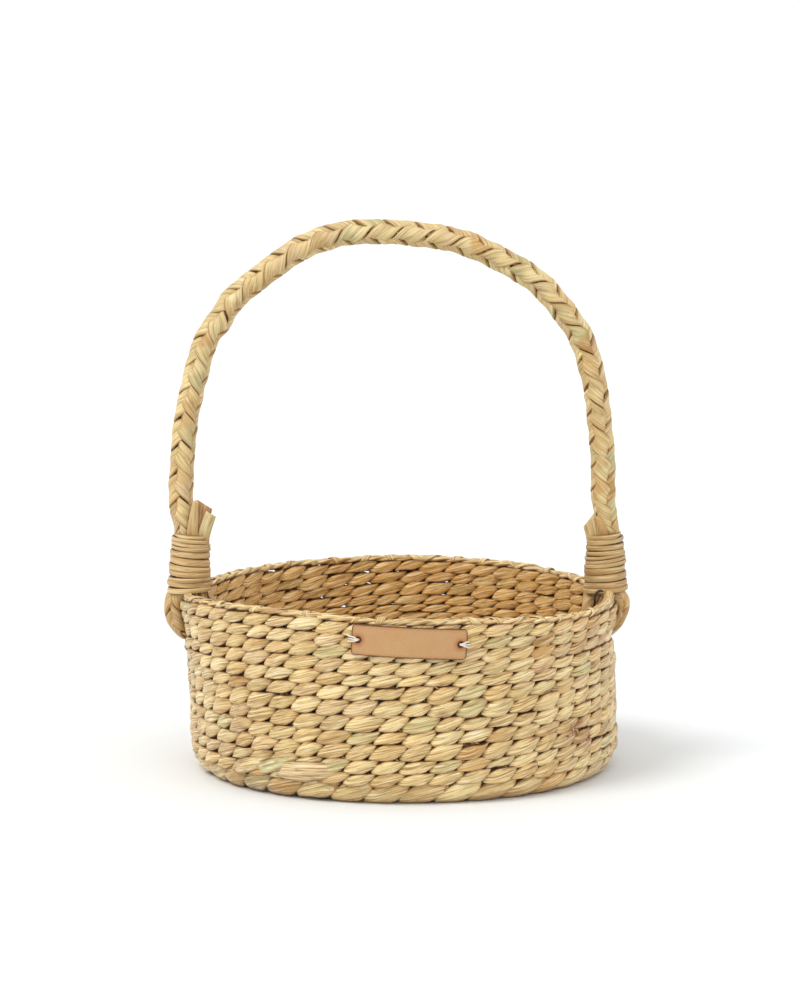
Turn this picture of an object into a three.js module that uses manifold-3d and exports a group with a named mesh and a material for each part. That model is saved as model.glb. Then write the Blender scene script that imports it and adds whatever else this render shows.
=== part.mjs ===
// A round seagrass basket with a bow handle. Millimetres, +Z up. The handle stands in the XZ plane,
// the front with the tag faces -Y, and the origin is the middle of the base's underside.
import * as THREE from "three";
import { mergeVertices } from "three/addons/utils/BufferGeometryUtils.js";
import Module from "manifold-3d";

const wasm = await Module();
wasm.setup();

// Clearance between pieces that touch
const touchGap = 0.3;

// Stakes and wall
const stakeCount = 48;
const stakeWidth = 3;
const stakeCornerCut = 1.8;
const hubRadius = 27;
const hubOverlap = 3;
const wallMiddleRadius = 124.7;
const weftThickness = 3;
const courseCount = 12;
const coursePitch = 7.9;

// Base and foot
const baseWeftThickness = 3.2;
const baseWeftInset = 9;
const baseRidgePitch = 19;
const baseGrooveShare = 0.68;
const footHeight = 8.4;
const footRoundWidth = 6.5;
const footRoundHeight = 5.2;

// Rim
const rimBorderWidth = 6.4;
const rimBorderHeight = 3.2;
const rimSag = 4;

// Handle: the arch, the legs that hug the wall and the round part that passes through it
const handleHeight = 332.7;
const handleDiameter = 16;
const handleSpread = 1.8;
const handleSwellLength = 26;
const boundThickness = 12.4;
const boundWidth = 12.4;
const outerLegThickness = 10.5;
const outerBoundThickness = 8.4;
const innerLegThickness = 4.4;
const innerTipThickness = 3;
const legWidth = 13;
const legBoundWidth = 10.4;
const innerTipWidth = 9;
const legClearance = 1;
const passRadius = 3.3;
const passBend = 4.4;
const passLift = 2.5;
const coursesAbovePass = 3;
const legDrawIn = 2.8;

// Bindings
const bindingRimGap = 2.6;
const bindingCord = 2.9;
const bindingPitch = 3.4;
const bindingTurns = 10;
const bindingClearance = 0.45;
const boundHalfAcross = 8;
const boundHalfDeep = 8.3;
const boundFootGrowth = 2.5;

// Ends of the handle's strands above the bindings
const wideEndThickness = 1.5;
const wideEndWidth = 7.5;
const leftWideEndRise = 13;
const rightWideEndRise = 14;
const wideEndLean = 6;
const narrowEndThickness = 1.2;
const narrowEndWidth = 3.2;
const leftNarrowEndRise = 22;
const rightNarrowEndRise = 12;

// Wires hooked over the rim beside the feet
const wireDiameter = 1.4;
const wireOffset = 12;
const wireInnerDrop = 15;
const wireOuterDrop = 11;

// Tag and its threads
const tagWidth = 67;
const tagHeight = 18;
const tagThickness = 1.6;
const tagCornerRadius = 2.2;
const tagSideOffset = 5.8;
const tagMiddleHeight = 96.5;
const tagTilt = THREE.MathUtils.degToRad(-2);
const tagHoleDiameter = 2.7;
const tagHoleInset = 3.8;
const threadDiameter = 1.3;

// Angle from one stake to the next, and the stakes' own sizes worked out from those above
const stakeStep = (2 * Math.PI) / stakeCount;
const weftSwing = stakeWidth / 2 + touchGap + weftThickness / 2;
const wallOuterRadius = wallMiddleRadius + weftSwing + weftThickness / 2;
const wallInnerRadius = wallMiddleRadius - weftSwing - weftThickness / 2;
const handleHalfSpan = wallMiddleRadius + handleSpread;
const spokeMiddle = baseWeftThickness + touchGap + stakeWidth / 2;
const baseTop = spokeMiddle + stakeWidth / 2 + touchGap + baseWeftThickness;
const wallStart = footHeight + touchGap;
const wallTop = wallStart + courseCount * coursePitch;
const passHeight = wallTop - coursesAbovePass * coursePitch;
const openHalf = passRadius + touchGap;

// How near an angle is to a foot of the handle: 1 at the foot, 0 at the front and back
const sagPower = 8;
function footShare(angle) {
  return Math.abs(Math.cos(angle)) ** sagPower;
}

// How far the weave opens at an angle, as a share: 1 at the two stakes beside a foot
function openingShare(angle) {
  const halfTurns = angle / Math.PI;
  const stakesFromFoot = (Math.abs(halfTurns - Math.round(halfTurns)) * stakeCount) / 2;
  return Math.min(1, Math.exp(-((stakesFromFoot - 1 / 2) ** 2)));
}

// The height that a height of the even weave takes: drawn down at the feet, and parted round the
// holes, whose upper edge is lifted more than the lower one is pushed down
function settled(angle, height) {
  const open = openingShare(angle);
  let parted = height;
  if (height > passHeight && height <= wallTop) {
    parted += ((openHalf + passLift) * open * (wallTop - height)) / (wallTop - passHeight);
  } else if (height > wallStart && height <= passHeight) {
    parted -= ((openHalf - passLift) * open * (height - wallStart)) / (passHeight - wallStart);
  }
  return parted - rimSag * footShare(angle) * (height / wallTop) ** 2;
}

// Heights at the feet, and how far out the legs stand
const passMiddle = settled(stakeStep / 2, passHeight) + openHalf;
const rimTopAtFoot = settled(stakeStep / 2, wallTop) + touchGap + rimBorderHeight;
const bindingBottom = rimTopAtFoot + bindingRimGap;
const bindingTop = bindingBottom + bindingTurns * bindingPitch + bindingCord;
const outerLegOut = wallOuterRadius + legClearance + outerLegThickness / 2;
const innerLegOut = wallInnerRadius - legClearance - innerLegThickness / 2;
const boundTopOut = handleHalfSpan + (wideEndThickness + touchGap) / 2;

const root = new THREE.Group();
const basket = new THREE.Group();
const handle = new THREE.Group();
root.add(basket, handle);

const finishes = {
  stake: new THREE.MeshStandardMaterial({ color: "#b58e56", roughness: 0.8 }),
  weft: new THREE.MeshStandardMaterial({ color: "#d4b47c", roughness: 0.7 }),
  base: new THREE.MeshStandardMaterial({ color: "#c9a870", roughness: 0.75 }),
  braid: new THREE.MeshStandardMaterial({ color: "#d6b782", roughness: 0.65 }),
  binding: new THREE.MeshStandardMaterial({ color: "#cba46c", roughness: 0.6 }),
  leather: new THREE.MeshStandardMaterial({ color: "#ca9a66", roughness: 0.6 }),
  thread: new THREE.MeshStandardMaterial({ color: "#e9e2d2", roughness: 0.9 }),
  wire: new THREE.MeshStandardMaterial({ color: "#16161a", roughness: 0.3, metalness: 0.4 }),
};

function addPiece(group, name, geometry, finish) {
  const piece = new THREE.Mesh(geometry, finishes[finish].clone());
  piece.name = name;
  group.add(piece);
  return piece;
}

// A point by angle round the basket, distance from its axis and height
function polar(angle, radius, height) {
  return new THREE.Vector3(radius * Math.cos(angle), radius * Math.sin(angle), height);
}

function signedVolume(positions, index) {
  const corner = [new THREE.Vector3(), new THREE.Vector3(), new THREE.Vector3()];
  let total = 0;
  for (let i = 0; i < index.length; i += 3) {
    corner.forEach((point, k) => point.fromArray(positions, 3 * index[i + k]));
    total += corner[0].dot(corner[1].clone().cross(corner[2])) / 6;
  }
  return total;
}

// A closed body through rings of points: capped at both ends, or joined end to start
function loft(rings, isLoop = false) {
  const sides = rings[0].length;
  const positions = rings.flat().flatMap((point) => point.toArray());
  const index = [];
  const bands = isLoop ? rings.length : rings.length - 1;
  for (let band = 0; band < bands; band += 1) {
    const here = band * sides;
    const next = ((band + 1) % rings.length) * sides;
    for (let side = 0; side < sides; side += 1) {
      const after = (side + 1) % sides;
      index.push(here + side, here + after, next + after);
      index.push(here + side, next + after, next + side);
    }
  }
  if (!isLoop) {
    const last = (rings.length - 1) * sides;
    for (let side = 1; side < sides - 1; side += 1) {
      index.push(0, side + 1, side);
      index.push(last, last + side, last + side + 1);
    }
  }
  if (signedVolume(positions, index) < 0) index.reverse();
  const geometry = new THREE.BufferGeometry();
  geometry.setAttribute("position", new THREE.Float32BufferAttribute(positions, 3));
  geometry.setIndex(index);
  return geometry;
}

// The same faces, all turned to point outwards
function turnedOut(geometry) {
  const index = [...geometry.index.array];
  if (signedVolume(geometry.attributes.position.array, index) < 0) index.reverse();
  geometry.setIndex(index);
  return geometry;
}

// A closed mesh as a solid that can be joined or cut, and back again
function solidFrom(geometry) {
  const bare = geometry.clone();
  bare.deleteAttribute("normal");
  bare.deleteAttribute("uv");
  const merged = mergeVertices(bare);
  const mesh = new wasm.Mesh({
    numProp: 3,
    vertProperties: new Float32Array(merged.attributes.position.array),
    triVerts: new Uint32Array(merged.index.array),
  });
  return new wasm.Manifold(mesh);
}

function geometryFrom(solid) {
  const mesh = solid.getMesh();
  const geometry = new THREE.BufferGeometry();
  geometry.setAttribute("position", new THREE.BufferAttribute(mesh.vertProperties, 3));
  geometry.setIndex(new THREE.BufferAttribute(mesh.triVerts, 1));
  return geometry;
}

// A lathe profile of [radius, height] pairs turned about the basket's axis
function turned(profile, segments) {
  const points = profile.map(([radius, height]) => new THREE.Vector2(radius, height));
  const geometry = new THREE.LatheGeometry(points, segments);
  geometry.rotateX(Math.PI / 2);
  return geometry;
}

// Stakes: rods from a hub in the base, out under the wall and up through it
function stakeRod(angle) {
  const top = settled(angle, wallTop);
  const path = [
    { radius: hubRadius - hubOverlap, height: spokeMiddle, tiltShare: 0 },
    { radius: wallMiddleRadius - stakeCornerCut, height: spokeMiddle, tiltShare: 1 / 4 },
    { radius: wallMiddleRadius, height: spokeMiddle + stakeCornerCut, tiltShare: 3 / 4 },
    { radius: wallMiddleRadius, height: settled(angle, passHeight), tiltShare: 1 },
    { radius: wallMiddleRadius, height: top, tiltShare: 1 },
  ];
  const sideways = new THREE.Vector3(-Math.sin(angle), Math.cos(angle), 0).multiplyScalar(stakeWidth / 2);
  const rings = path.map(({ radius, height, tiltShare }) => {
    const tilt = (tiltShare * Math.PI) / 2;
    const centre = polar(angle, radius, height);
    const outwards = polar(angle, Math.sin(tilt), -Math.cos(tilt)).multiplyScalar(stakeWidth / 2);
    return [
      centre.clone().add(outwards),
      centre.clone().add(sideways),
      centre.clone().sub(outwards),
      centre.clone().sub(sideways),
    ];
  });
  return loft(rings);
}

function stakesGeometry() {
  const hub = new THREE.CylinderGeometry(hubRadius, hubRadius, stakeWidth, stakeCount);
  hub.rotateX(Math.PI / 2);
  hub.translate(0, 0, spokeMiddle);
  let joined = solidFrom(hub);
  for (let stake = 0; stake < stakeCount; stake += 1) {
    joined = joined.add(solidFrom(stakeRod((stake + 1 / 2) * stakeStep)));
  }
  return geometryFrom(joined);
}

addPiece(basket, "stakes", stakesGeometry(), "stake");

// Wall weft: two strands a course, one above the other, that pass the stakes on opposite sides
function weftStrand(course, isUpper) {
  const strandHeight = coursePitch / 2 - touchGap;
  const middle = wallStart + coursePitch * (course + (isUpper ? 3 / 4 : 1 / 4));
  const rings = [];
  for (let stake = 0; stake < stakeCount; stake += 1) {
    const angle = (stake + 1 / 2) * stakeStep;
    const isOutside = (stake + course + (isUpper ? 1 : 0)) % 2 === 0;
    const radius = wallMiddleRadius + (isOutside ? weftSwing : -weftSwing);
    const low = settled(angle, middle - strandHeight / 2);
    const high = settled(angle, middle + strandHeight / 2);
    rings.push([
      polar(angle, radius - weftThickness / 2, low),
      polar(angle, radius + weftThickness / 2, low),
      polar(angle, radius + weftThickness / 2, high),
      polar(angle, radius - weftThickness / 2, high),
    ]);
  }
  return loft(rings, true);
}

for (let course = 0; course < courseCount; course += 1) {
  const label = String(course + 1).padStart(2, "0");
  addPiece(basket, `wall_weft_${label}_lower`, weftStrand(course, false), "weft");
  addPiece(basket, `wall_weft_${label}_upper`, weftStrand(course, true), "weft");
}

// Base weft: a layer under the spokes and one above them. A layer is flat against the spokes. Its other
// face has a flat disc in the middle and rings of ridges round it, as rows of thick weave have, with a
// crest along its edge
function baseLayer(radius, flatHeight, crestHeight) {
  const ridgeCount = Math.round(radius / baseRidgePitch);
  const grooveHeight = THREE.MathUtils.lerp(crestHeight, flatHeight, baseGrooveShare);
  const profile = [
    [0, flatHeight],
    [radius, flatHeight],
  ];
  for (let edge = 2 * ridgeCount; edge > 1; edge -= 1) {
    profile.push([(radius * edge) / (2 * ridgeCount), edge % 2 === 0 ? crestHeight : grooveHeight]);
  }
  profile.push([0, crestHeight]);
  return turnedOut(turned(profile, stakeCount / 2));
}

const baseUnderRadius = wallMiddleRadius - baseWeftInset;
const baseOverRadius = wallInnerRadius - touchGap;
const baseOverBottom = baseTop - baseWeftThickness;
addPiece(basket, "base_weft_under", baseLayer(baseUnderRadius, baseWeftThickness, 0), "base");
addPiece(basket, "base_weft_over", baseLayer(baseOverRadius, baseOverBottom, baseTop), "base");

// Foot wale: the heavy rope round the bottom edge, rounded outside and fitted to the stakes' corner
function footWale() {
  const roundSteps = 3;
  const fit = stakeWidth / 2 + touchGap;
  const mitre = fit * Math.tan(Math.PI / 8);
  const inner = baseUnderRadius + touchGap;
  const profile = [[inner, 0]];
  for (let step = 0; step <= roundSteps; step += 1) {
    const turn = (step / roundSteps) * (Math.PI / 2);
    profile.push([
      wallOuterRadius - footRoundWidth * (1 - Math.sin(turn)),
      footRoundHeight * (1 - Math.cos(turn)),
    ]);
  }
  profile.push(
    [wallOuterRadius, footHeight],
    [wallMiddleRadius + fit, footHeight],
    [wallMiddleRadius + fit, spokeMiddle + stakeCornerCut - mitre],
    [wallMiddleRadius - stakeCornerCut + mitre, baseWeftThickness],
    [inner, baseWeftThickness],
    [inner, 0],
  );
  return turned(profile, stakeCount);
}

addPiece(basket, "foot_wale", footWale(), "weft");

// Rim border: a six-sided ring over the ends of the stakes
function rimBorder() {
  const rings = [];
  for (let stake = 0; stake < stakeCount; stake += 1) {
    const angle = (stake + 1 / 2) * stakeStep;
    const bottom = settled(angle, wallTop) + touchGap;
    const ring = [];
    const sides = 6;
    for (let side = 0; side < sides; side += 1) {
      const turn = (side / sides) * 2 * Math.PI;
      const radius = wallMiddleRadius + (rimBorderWidth / 2) * Math.cos(turn);
      const liftShare = (1 + Math.sin(turn) / Math.sin(Math.PI / 3)) / 2;
      ring.push(polar(angle, radius, bottom + rimBorderHeight * liftShare));
    }
    rings.push(ring);
  }
  return loft(rings, true);
}

addPiece(basket, "rim_border", rimBorder(), "weft");

// A station of the handle: how far out and how high its middle is, and its two thicknesses
function station(out, height, thickness, width) {
  return { out, height, thickness, width };
}

function blended(from, to, share) {
  const mix = (key) => THREE.MathUtils.lerp(from[key], to[key], share);
  return station(mix("out"), mix("height"), mix("thickness"), mix("width"));
}

// One foot of the handle: from the tip inside the binding, down inside the wall, out through it
// and up to the top of the binding
const tipRiseShare = 0.7;
const tipHeight = THREE.MathUtils.lerp(bindingBottom, bindingTop, tipRiseShare);
function footStations() {
  const tipOut = handleHalfSpan - boundThickness / 2;
  const passThickness = 2 * passRadius;
  const legTop = bindingBottom - 2 * bindingRimGap;
  const innerFoot = station(innerLegOut + legDrawIn, bindingBottom, innerLegThickness, innerTipWidth);
  const outerFoot = station(outerLegOut - legDrawIn, bindingBottom, outerBoundThickness, legBoundWidth);
  const boundTop = station(boundTopOut, bindingTop, boundThickness, boundWidth);
  const stations = [
    station(tipOut, tipHeight, innerTipThickness, innerTipWidth),
    innerFoot,
    station(innerLegOut, legTop, innerLegThickness, legWidth),
  ];
  const bendSteps = 2;
  for (let step = 0; step <= bendSteps; step += 1) {
    const share = step / bendSteps;
    const turn = (share * Math.PI) / 2;
    stations.push(
      station(
        innerLegOut + passBend * (1 - Math.cos(turn)),
        passMiddle + passBend * (1 - Math.sin(turn)),
        THREE.MathUtils.lerp(innerLegThickness, passThickness, share),
        THREE.MathUtils.lerp(legWidth, passThickness, share),
      ),
    );
  }
  for (let step = 0; step <= bendSteps; step += 1) {
    const share = step / bendSteps;
    const turn = (share * Math.PI) / 2;
    stations.push(
      station(
        outerLegOut - passBend * (1 - Math.sin(turn)),
        passMiddle + passBend * (1 - Math.cos(turn)),
        THREE.MathUtils.lerp(passThickness, outerLegThickness, share),
        THREE.MathUtils.lerp(passThickness, legWidth, share),
      ),
    );
  }
  stations.push(station(outerLegOut, legTop, outerLegThickness, legWidth), outerFoot);
  const boundSteps = 3;
  for (let step = 1; step <= boundSteps; step += 1) {
    stations.push(blended(outerFoot, boundTop, step / boundSteps));
  }
  return stations;
}

// The arch between the bindings, as shares of the half span outwards and of the rise upwards: it
// leans out a little on the left, and its right shoulder is the fuller one
const archShares = [
  [-1.045, 0.106],
  [-1.038, 0.24],
  [-1.019, 0.374],
  [-0.978, 0.508],
  [-0.921, 0.642],
  [-0.854, 0.709],
  [-0.791, 0.776],
  [-0.677, 0.843],
  [-0.476, 0.942],
  [-0.285, 0.991],
  [-0.095, 1],
  [0.098, 0.99],
  [0.289, 0.967],
  [0.481, 0.909],
  [0.641, 0.843],
  [0.737, 0.776],
  [0.811, 0.709],
  [0.87, 0.642],
  [0.928, 0.508],
  [0.954, 0.374],
  [0.972, 0.24],
  [0.976, 0.106],
];

function archCurve() {
  const rise = handleHeight - handleDiameter / 2 - bindingTop;
  const points = archShares.map(
    ([outShare, riseShare]) =>
      new THREE.Vector3(outShare * handleHalfSpan, 0, bindingTop + riseShare * rise),
  );
  const leftTop = new THREE.Vector3(-boundTopOut, 0, bindingTop);
  const rightTop = new THREE.Vector3(boundTopOut, 0, bindingTop);
  return new THREE.CatmullRomCurve3([leftTop, ...points, rightTop], false, "centripetal");
}

// How much of its full thickness the braid has, by distance along it from a binding
function swell(distance) {
  return Math.min(1, distance / handleSwellLength);
}

function handleGeometry() {
  const sides = 10;
  const archSteps = 36;
  const curve = archCurve();
  const length = curve.getLength();
  const arch = curve.getSpacedPoints(archSteps).slice(1, -1);
  const archStations = arch.map((point, i) => {
    const along = ((i + 1) / archSteps) * length;
    const share = swell(Math.min(along, length - along));
    const thickness = THREE.MathUtils.lerp(boundThickness, handleDiameter, share);
    return station(point.x, point.z, thickness, thickness);
  });
  const foot = footStations();
  const leftFoot = foot.map((at) => ({ ...at, out: -at.out }));
  const stations = [...leftFoot, ...archStations, ...foot.toReversed()];
  const rings = stations.map((at, i) => {
    const before = stations[Math.max(0, i - 1)];
    const after = stations[Math.min(stations.length - 1, i + 1)];
    const along = new THREE.Vector2(after.out - before.out, after.height - before.height).normalize();
    const ring = [];
    for (let side = 0; side < sides; side += 1) {
      const turn = (side / sides) * 2 * Math.PI;
      const across = (at.thickness / 2) * Math.cos(turn);
      const x = at.out - along.y * across;
      const y = (at.width / 2) * Math.sin(turn);
      ring.push(new THREE.Vector3(x, y, at.height + along.x * across));
    }
    return ring;
  });
  return loft(rings);
}

addPiece(handle, "handle_braid", handleGeometry(), "braid");

// Bindings: one cord wound round each pair of legs, on an oval that narrows upwards
const cordSteps = 16;
function bindingPoint(side, step) {
  const turn = (step / cordSteps) * 2 * Math.PI;
  const riseShare = step / (cordSteps * bindingTurns);
  const bottomMiddle = (outerLegOut + outerLegThickness / 2 + innerLegOut - innerLegThickness / 2) / 2;
  const middle = THREE.MathUtils.lerp(bottomMiddle, handleHalfSpan, riseShare);
  const reach = bindingClearance + bindingCord / 2;
  const across = boundHalfAcross + boundFootGrowth * (1 - riseShare) + reach;
  const deep = boundHalfDeep + reach;
  const height = bindingBottom + bindingCord / 2 + riseShare * bindingTurns * bindingPitch;
  const out = middle + across * Math.cos(turn);
  return new THREE.Vector3(side * out, deep * Math.sin(turn), height);
}

function binding(side) {
  const sides = 5;
  const points = [];
  for (let step = 0; step <= cordSteps * bindingTurns; step += 1) points.push(bindingPoint(side, step));
  const startRun = points[0].clone().sub(points[1]).setLength(bindingCord);
  const endRun = points.at(-1).clone().sub(points.at(-2)).setLength(bindingCord);
  const path = [points[0].clone().add(startRun), ...points, points.at(-1).clone().add(endRun)];
  const up = new THREE.Vector3(0, 0, 1);
  const rings = path.map((point, i) => {
    const before = path[Math.max(0, i - 1)];
    const after = path[Math.min(path.length - 1, i + 1)];
    const along = after.clone().sub(before).normalize();
    const outwards = along.clone().cross(up).normalize();
    const upwards = outwards.clone().cross(along);
    const ring = [];
    for (let corner = 0; corner < sides; corner += 1) {
      const turn = (corner / sides) * 2 * Math.PI;
      const spread = outwards.clone().multiplyScalar((Math.cos(turn) * bindingCord) / 2);
      spread.addScaledVector(upwards, (Math.sin(turn) * bindingCord) / 2);
      ring.push(point.clone().add(spread));
    }
    return ring;
  });
  let leastGap = Infinity;
  path.forEach((point, i) => {
    for (let j = i + cordSteps / 2; j < path.length; j += 1) {
      leastGap = Math.min(leastGap, point.distanceTo(path[j]) - bindingCord);
    }
  });
  console.log(`least gap between the turns of a binding: ${leastGap.toFixed(2)} mm`);
  return loft(rings);
}

addPiece(handle, "left_binding", binding(-1), "binding");
addPiece(handle, "right_binding", binding(1), "binding");

// A flat strand through stations of { out, height, width }, its face at depth y
function flatStrand(side, stations, thickness, across) {
  const rings = stations.map(({ out, height, width, depth }) => {
    const corners = [
      [-1, -1],
      [1, -1],
      [1, 1],
      [-1, 1],
    ];
    return corners.map(([one, two]) => {
      const acrossX = across === "x" ? (one * width) / 2 : (one * thickness) / 2;
      const acrossY = across === "x" ? (two * thickness) / 2 : (two * width) / 2;
      return new THREE.Vector3(side * (out + acrossX), depth + acrossY, height);
    });
  });
  return loft(rings);
}

// The wide end comes up on the inner side of the braid and leans in over the basket
function wideEnd(side, rise) {
  const out = boundTopOut - boundThickness / 2 - touchGap - wideEndThickness / 2;
  const stations = [
    { out, height: tipHeight + touchGap, width: wideEndWidth, depth: 0 },
    { out, height: bindingTop, width: wideEndWidth, depth: 0 },
    { out: out - wideEndLean, height: bindingTop + rise, width: wideEndWidth, depth: 0 },
  ];
  return flatStrand(side, stations, wideEndThickness, "y");
}

// The narrow end comes up on the front of the braid and stays close to it
function narrowEnd(side, rise) {
  const clear = touchGap + narrowEndThickness / 2;
  const topThickness = THREE.MathUtils.lerp(boundThickness, handleDiameter, swell(rise));
  const depth = -boundWidth / 2 - clear;
  const out = boundTopOut - narrowEndWidth / 2;
  const stations = [
    { out, height: tipHeight + touchGap, width: narrowEndWidth, depth },
    { out, height: bindingTop, width: narrowEndWidth, depth },
    {
      out: out - narrowEndWidth,
      height: bindingTop + rise,
      width: narrowEndWidth / 2,
      depth: -topThickness / 2 - clear,
    },
  ];
  return flatStrand(side, stations, narrowEndThickness, "x");
}

addPiece(handle, "left_wide_strand_end", wideEnd(-1, leftWideEndRise), "braid");
addPiece(handle, "right_wide_strand_end", wideEnd(1, rightWideEndRise), "braid");
addPiece(handle, "left_narrow_strand_end", narrowEnd(-1, leftNarrowEndRise), "braid");
addPiece(handle, "right_narrow_strand_end", narrowEnd(1, rightNarrowEndRise), "braid");

// Rim wires: a hook over the rim on the front side of each foot
function rimWire(foot) {
  const sides = 6;
  const fromFoot = Math.asin(wireOffset / wallMiddleRadius);
  const angle = foot > 0 ? -fromFoot : Math.PI + fromFoot;
  const tangent = polar(angle + Math.PI / 2, 1, 0);
  const halfWidth = wallOuterRadius - wallMiddleRadius + touchGap + wireDiameter / 2;
  const shoulder = settled(angle, wallTop) + touchGap + rimBorderHeight / 2;
  const rise = rimBorderHeight / 2 + 2 * touchGap + wireDiameter / 2;
  const path = [new THREE.Vector2(-halfWidth, shoulder - wireInnerDrop)];
  const archSteps = 6;
  for (let step = 0; step <= archSteps; step += 1) {
    const turn = (step / archSteps) * Math.PI;
    path.push(new THREE.Vector2(-halfWidth * Math.cos(turn), shoulder + rise * Math.sin(turn)));
  }
  path.push(new THREE.Vector2(halfWidth, shoulder - wireOuterDrop));
  const rings = path.map((point, i) => {
    const before = path[Math.max(0, i - 1)];
    const after = path[Math.min(path.length - 1, i + 1)];
    const along = after.clone().sub(before).normalize();
    const ring = [];
    for (let side = 0; side < sides; side += 1) {
      const turn = (side / sides) * 2 * Math.PI;
      const across = (wireDiameter / 2) * Math.cos(turn);
      const sideways = (wireDiameter / 2) * Math.sin(turn);
      const radius = wallMiddleRadius + point.x - along.y * across;
      const corner = polar(angle, radius, point.y + along.x * across);
      ring.push(corner.addScaledVector(tangent, sideways));
    }
    return ring;
  });
  return loft(rings);
}

addPiece(basket, "left_rim_wire", rimWire(-1), "wire");
addPiece(basket, "right_rim_wire", rimWire(1), "wire");

// Tag: a plate bent to the wall. A point on it goes by distance along it, outwards and up it
const tagBackRadius = wallOuterRadius + touchGap;
function tagPoint(along, outwards, up) {
  const level = along * Math.cos(tagTilt) - up * Math.sin(tagTilt);
  const raised = along * Math.sin(tagTilt) + up * Math.cos(tagTilt);
  const angle = -Math.PI / 2 + (tagSideOffset + level) / tagBackRadius;
  return polar(angle, tagBackRadius + outwards, tagMiddleHeight + raised);
}

// The width that a length bent round the wall spans, seen from the front
function chord(length) {
  return 2 * tagBackRadius * Math.sin(length / (2 * tagBackRadius));
}

function tagOutline() {
  const cornerX = chord(tagWidth) / 2 - tagCornerRadius;
  const cornerY = tagHeight / 2 - tagCornerRadius;
  const shape = new THREE.Shape();
  const corners = [
    [cornerX, -cornerY],
    [cornerX, cornerY],
    [-cornerX, cornerY],
    [-cornerX, -cornerY],
  ];
  corners.forEach(([x, y], i) => {
    const from = ((i - 1) * Math.PI) / 2;
    shape.absarc(x, y, tagCornerRadius, from, from + Math.PI / 2);
  });
  shape.closePath();
  const holeX = chord(tagWidth - 2 * tagHoleInset) / 2;
  for (const x of [-holeX, holeX]) {
    const hole = new THREE.Path();
    hole.absarc(x, 0, tagHoleDiameter / 2, 0, 2 * Math.PI, true);
    shape.holes.push(hole);
  }
  return shape;
}

function tagGeometry() {
  const bendSteps = 8;
  const plate = new THREE.BoxGeometry(tagWidth, tagThickness, tagHeight, bendSteps, 1, 1);
  const places = plate.attributes.position;
  for (let i = 0; i < places.count; i += 1) {
    const outwards = places.getY(i) + tagThickness / 2;
    const bent = tagPoint(places.getX(i), outwards, places.getZ(i));
    places.setXYZ(i, bent.x, bent.y, bent.z);
  }
  const middle = tagPoint(0, 0, 0);
  const outwards = new THREE.Vector3(middle.x, middle.y, 0).normalize();
  const depth = tagHeight;
  const stamp = new THREE.ExtrudeGeometry(tagOutline(), { depth, bevelEnabled: false, curveSegments: 4 });
  stamp.translate(0, 0, -depth / 2);
  stamp.rotateZ(tagTilt);
  const level = new THREE.Vector3(-outwards.y, outwards.x, 0);
  const frame = new THREE.Matrix4().makeBasis(level, new THREE.Vector3(0, 0, 1), outwards);
  stamp.applyMatrix4(frame.setPosition(middle));
  return geometryFrom(solidFrom(turnedOut(plate)).intersect(solidFrom(stamp)));
}

addPiece(basket, "leather_tag", tagGeometry(), "leather");

// Tag threads: out through a hole, along the front and round the tag's end to the wall
function tagThread(side) {
  const sides = 6;
  const radius = threadDiameter / 2;
  const holeAt = tagWidth / 2 - tagHoleInset;
  const frontAt = tagThickness + touchGap + radius;
  const endAt = tagWidth / 2 + touchGap + radius;
  const path = [
    new THREE.Vector2(holeAt, 0),
    new THREE.Vector2(holeAt, tagThickness),
    new THREE.Vector2(holeAt + radius, frontAt),
    new THREE.Vector2(endAt - radius, frontAt),
    new THREE.Vector2(endAt, frontAt - radius),
    new THREE.Vector2(endAt, 0),
  ];
  const rings = path.map((point, i) => {
    const before = path[Math.max(0, i - 1)];
    const after = path[Math.min(path.length - 1, i + 1)];
    const along = after.clone().sub(before).normalize();
    const ring = [];
    for (let corner = 0; corner < sides; corner += 1) {
      const turn = (corner / sides) * 2 * Math.PI;
      const across = radius * Math.cos(turn);
      const up = radius * Math.sin(turn);
      ring.push(tagPoint(side * (point.x - along.y * across), point.y + along.x * across, up));
    }
    return ring;
  });
  return loft(rings);
}

addPiece(basket, "left_tag_thread", tagThread(-1), "thread");
addPiece(basket, "right_tag_thread", tagThread(1), "thread");

export default root;
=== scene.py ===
# %% [markdown]
# # A seagrass basket, woven in mesh code
# The real object is a low round basket. Two strands of dry seagrass are twisted round stiff stakes,
# course after course, and a braided handle stands on it, bound on at each side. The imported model
# gives the sizes, the places and the moving parts, and this lesson gives each piece its real form.

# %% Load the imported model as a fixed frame
import math

import bmesh
import bpy
import numpy as np
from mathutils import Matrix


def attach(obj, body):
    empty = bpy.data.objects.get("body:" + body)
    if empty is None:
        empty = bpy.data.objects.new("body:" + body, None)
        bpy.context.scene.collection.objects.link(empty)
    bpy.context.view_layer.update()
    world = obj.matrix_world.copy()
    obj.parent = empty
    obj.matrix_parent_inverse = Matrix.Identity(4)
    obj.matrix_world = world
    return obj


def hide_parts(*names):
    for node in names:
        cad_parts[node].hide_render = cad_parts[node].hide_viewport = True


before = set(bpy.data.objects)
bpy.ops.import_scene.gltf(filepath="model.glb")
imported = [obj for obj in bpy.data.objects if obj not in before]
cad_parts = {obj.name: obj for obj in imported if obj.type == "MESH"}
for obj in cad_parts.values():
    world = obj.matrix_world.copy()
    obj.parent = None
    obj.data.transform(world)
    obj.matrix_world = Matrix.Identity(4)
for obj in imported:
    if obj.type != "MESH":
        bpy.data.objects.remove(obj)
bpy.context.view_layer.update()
MM = 0.001

# %% [markdown]
# ## Camera
# The photograph was taken from about two and a half metres, a little above the basket. The foot
# looks rounder than the rim, which a camera much further off would not show.

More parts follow.
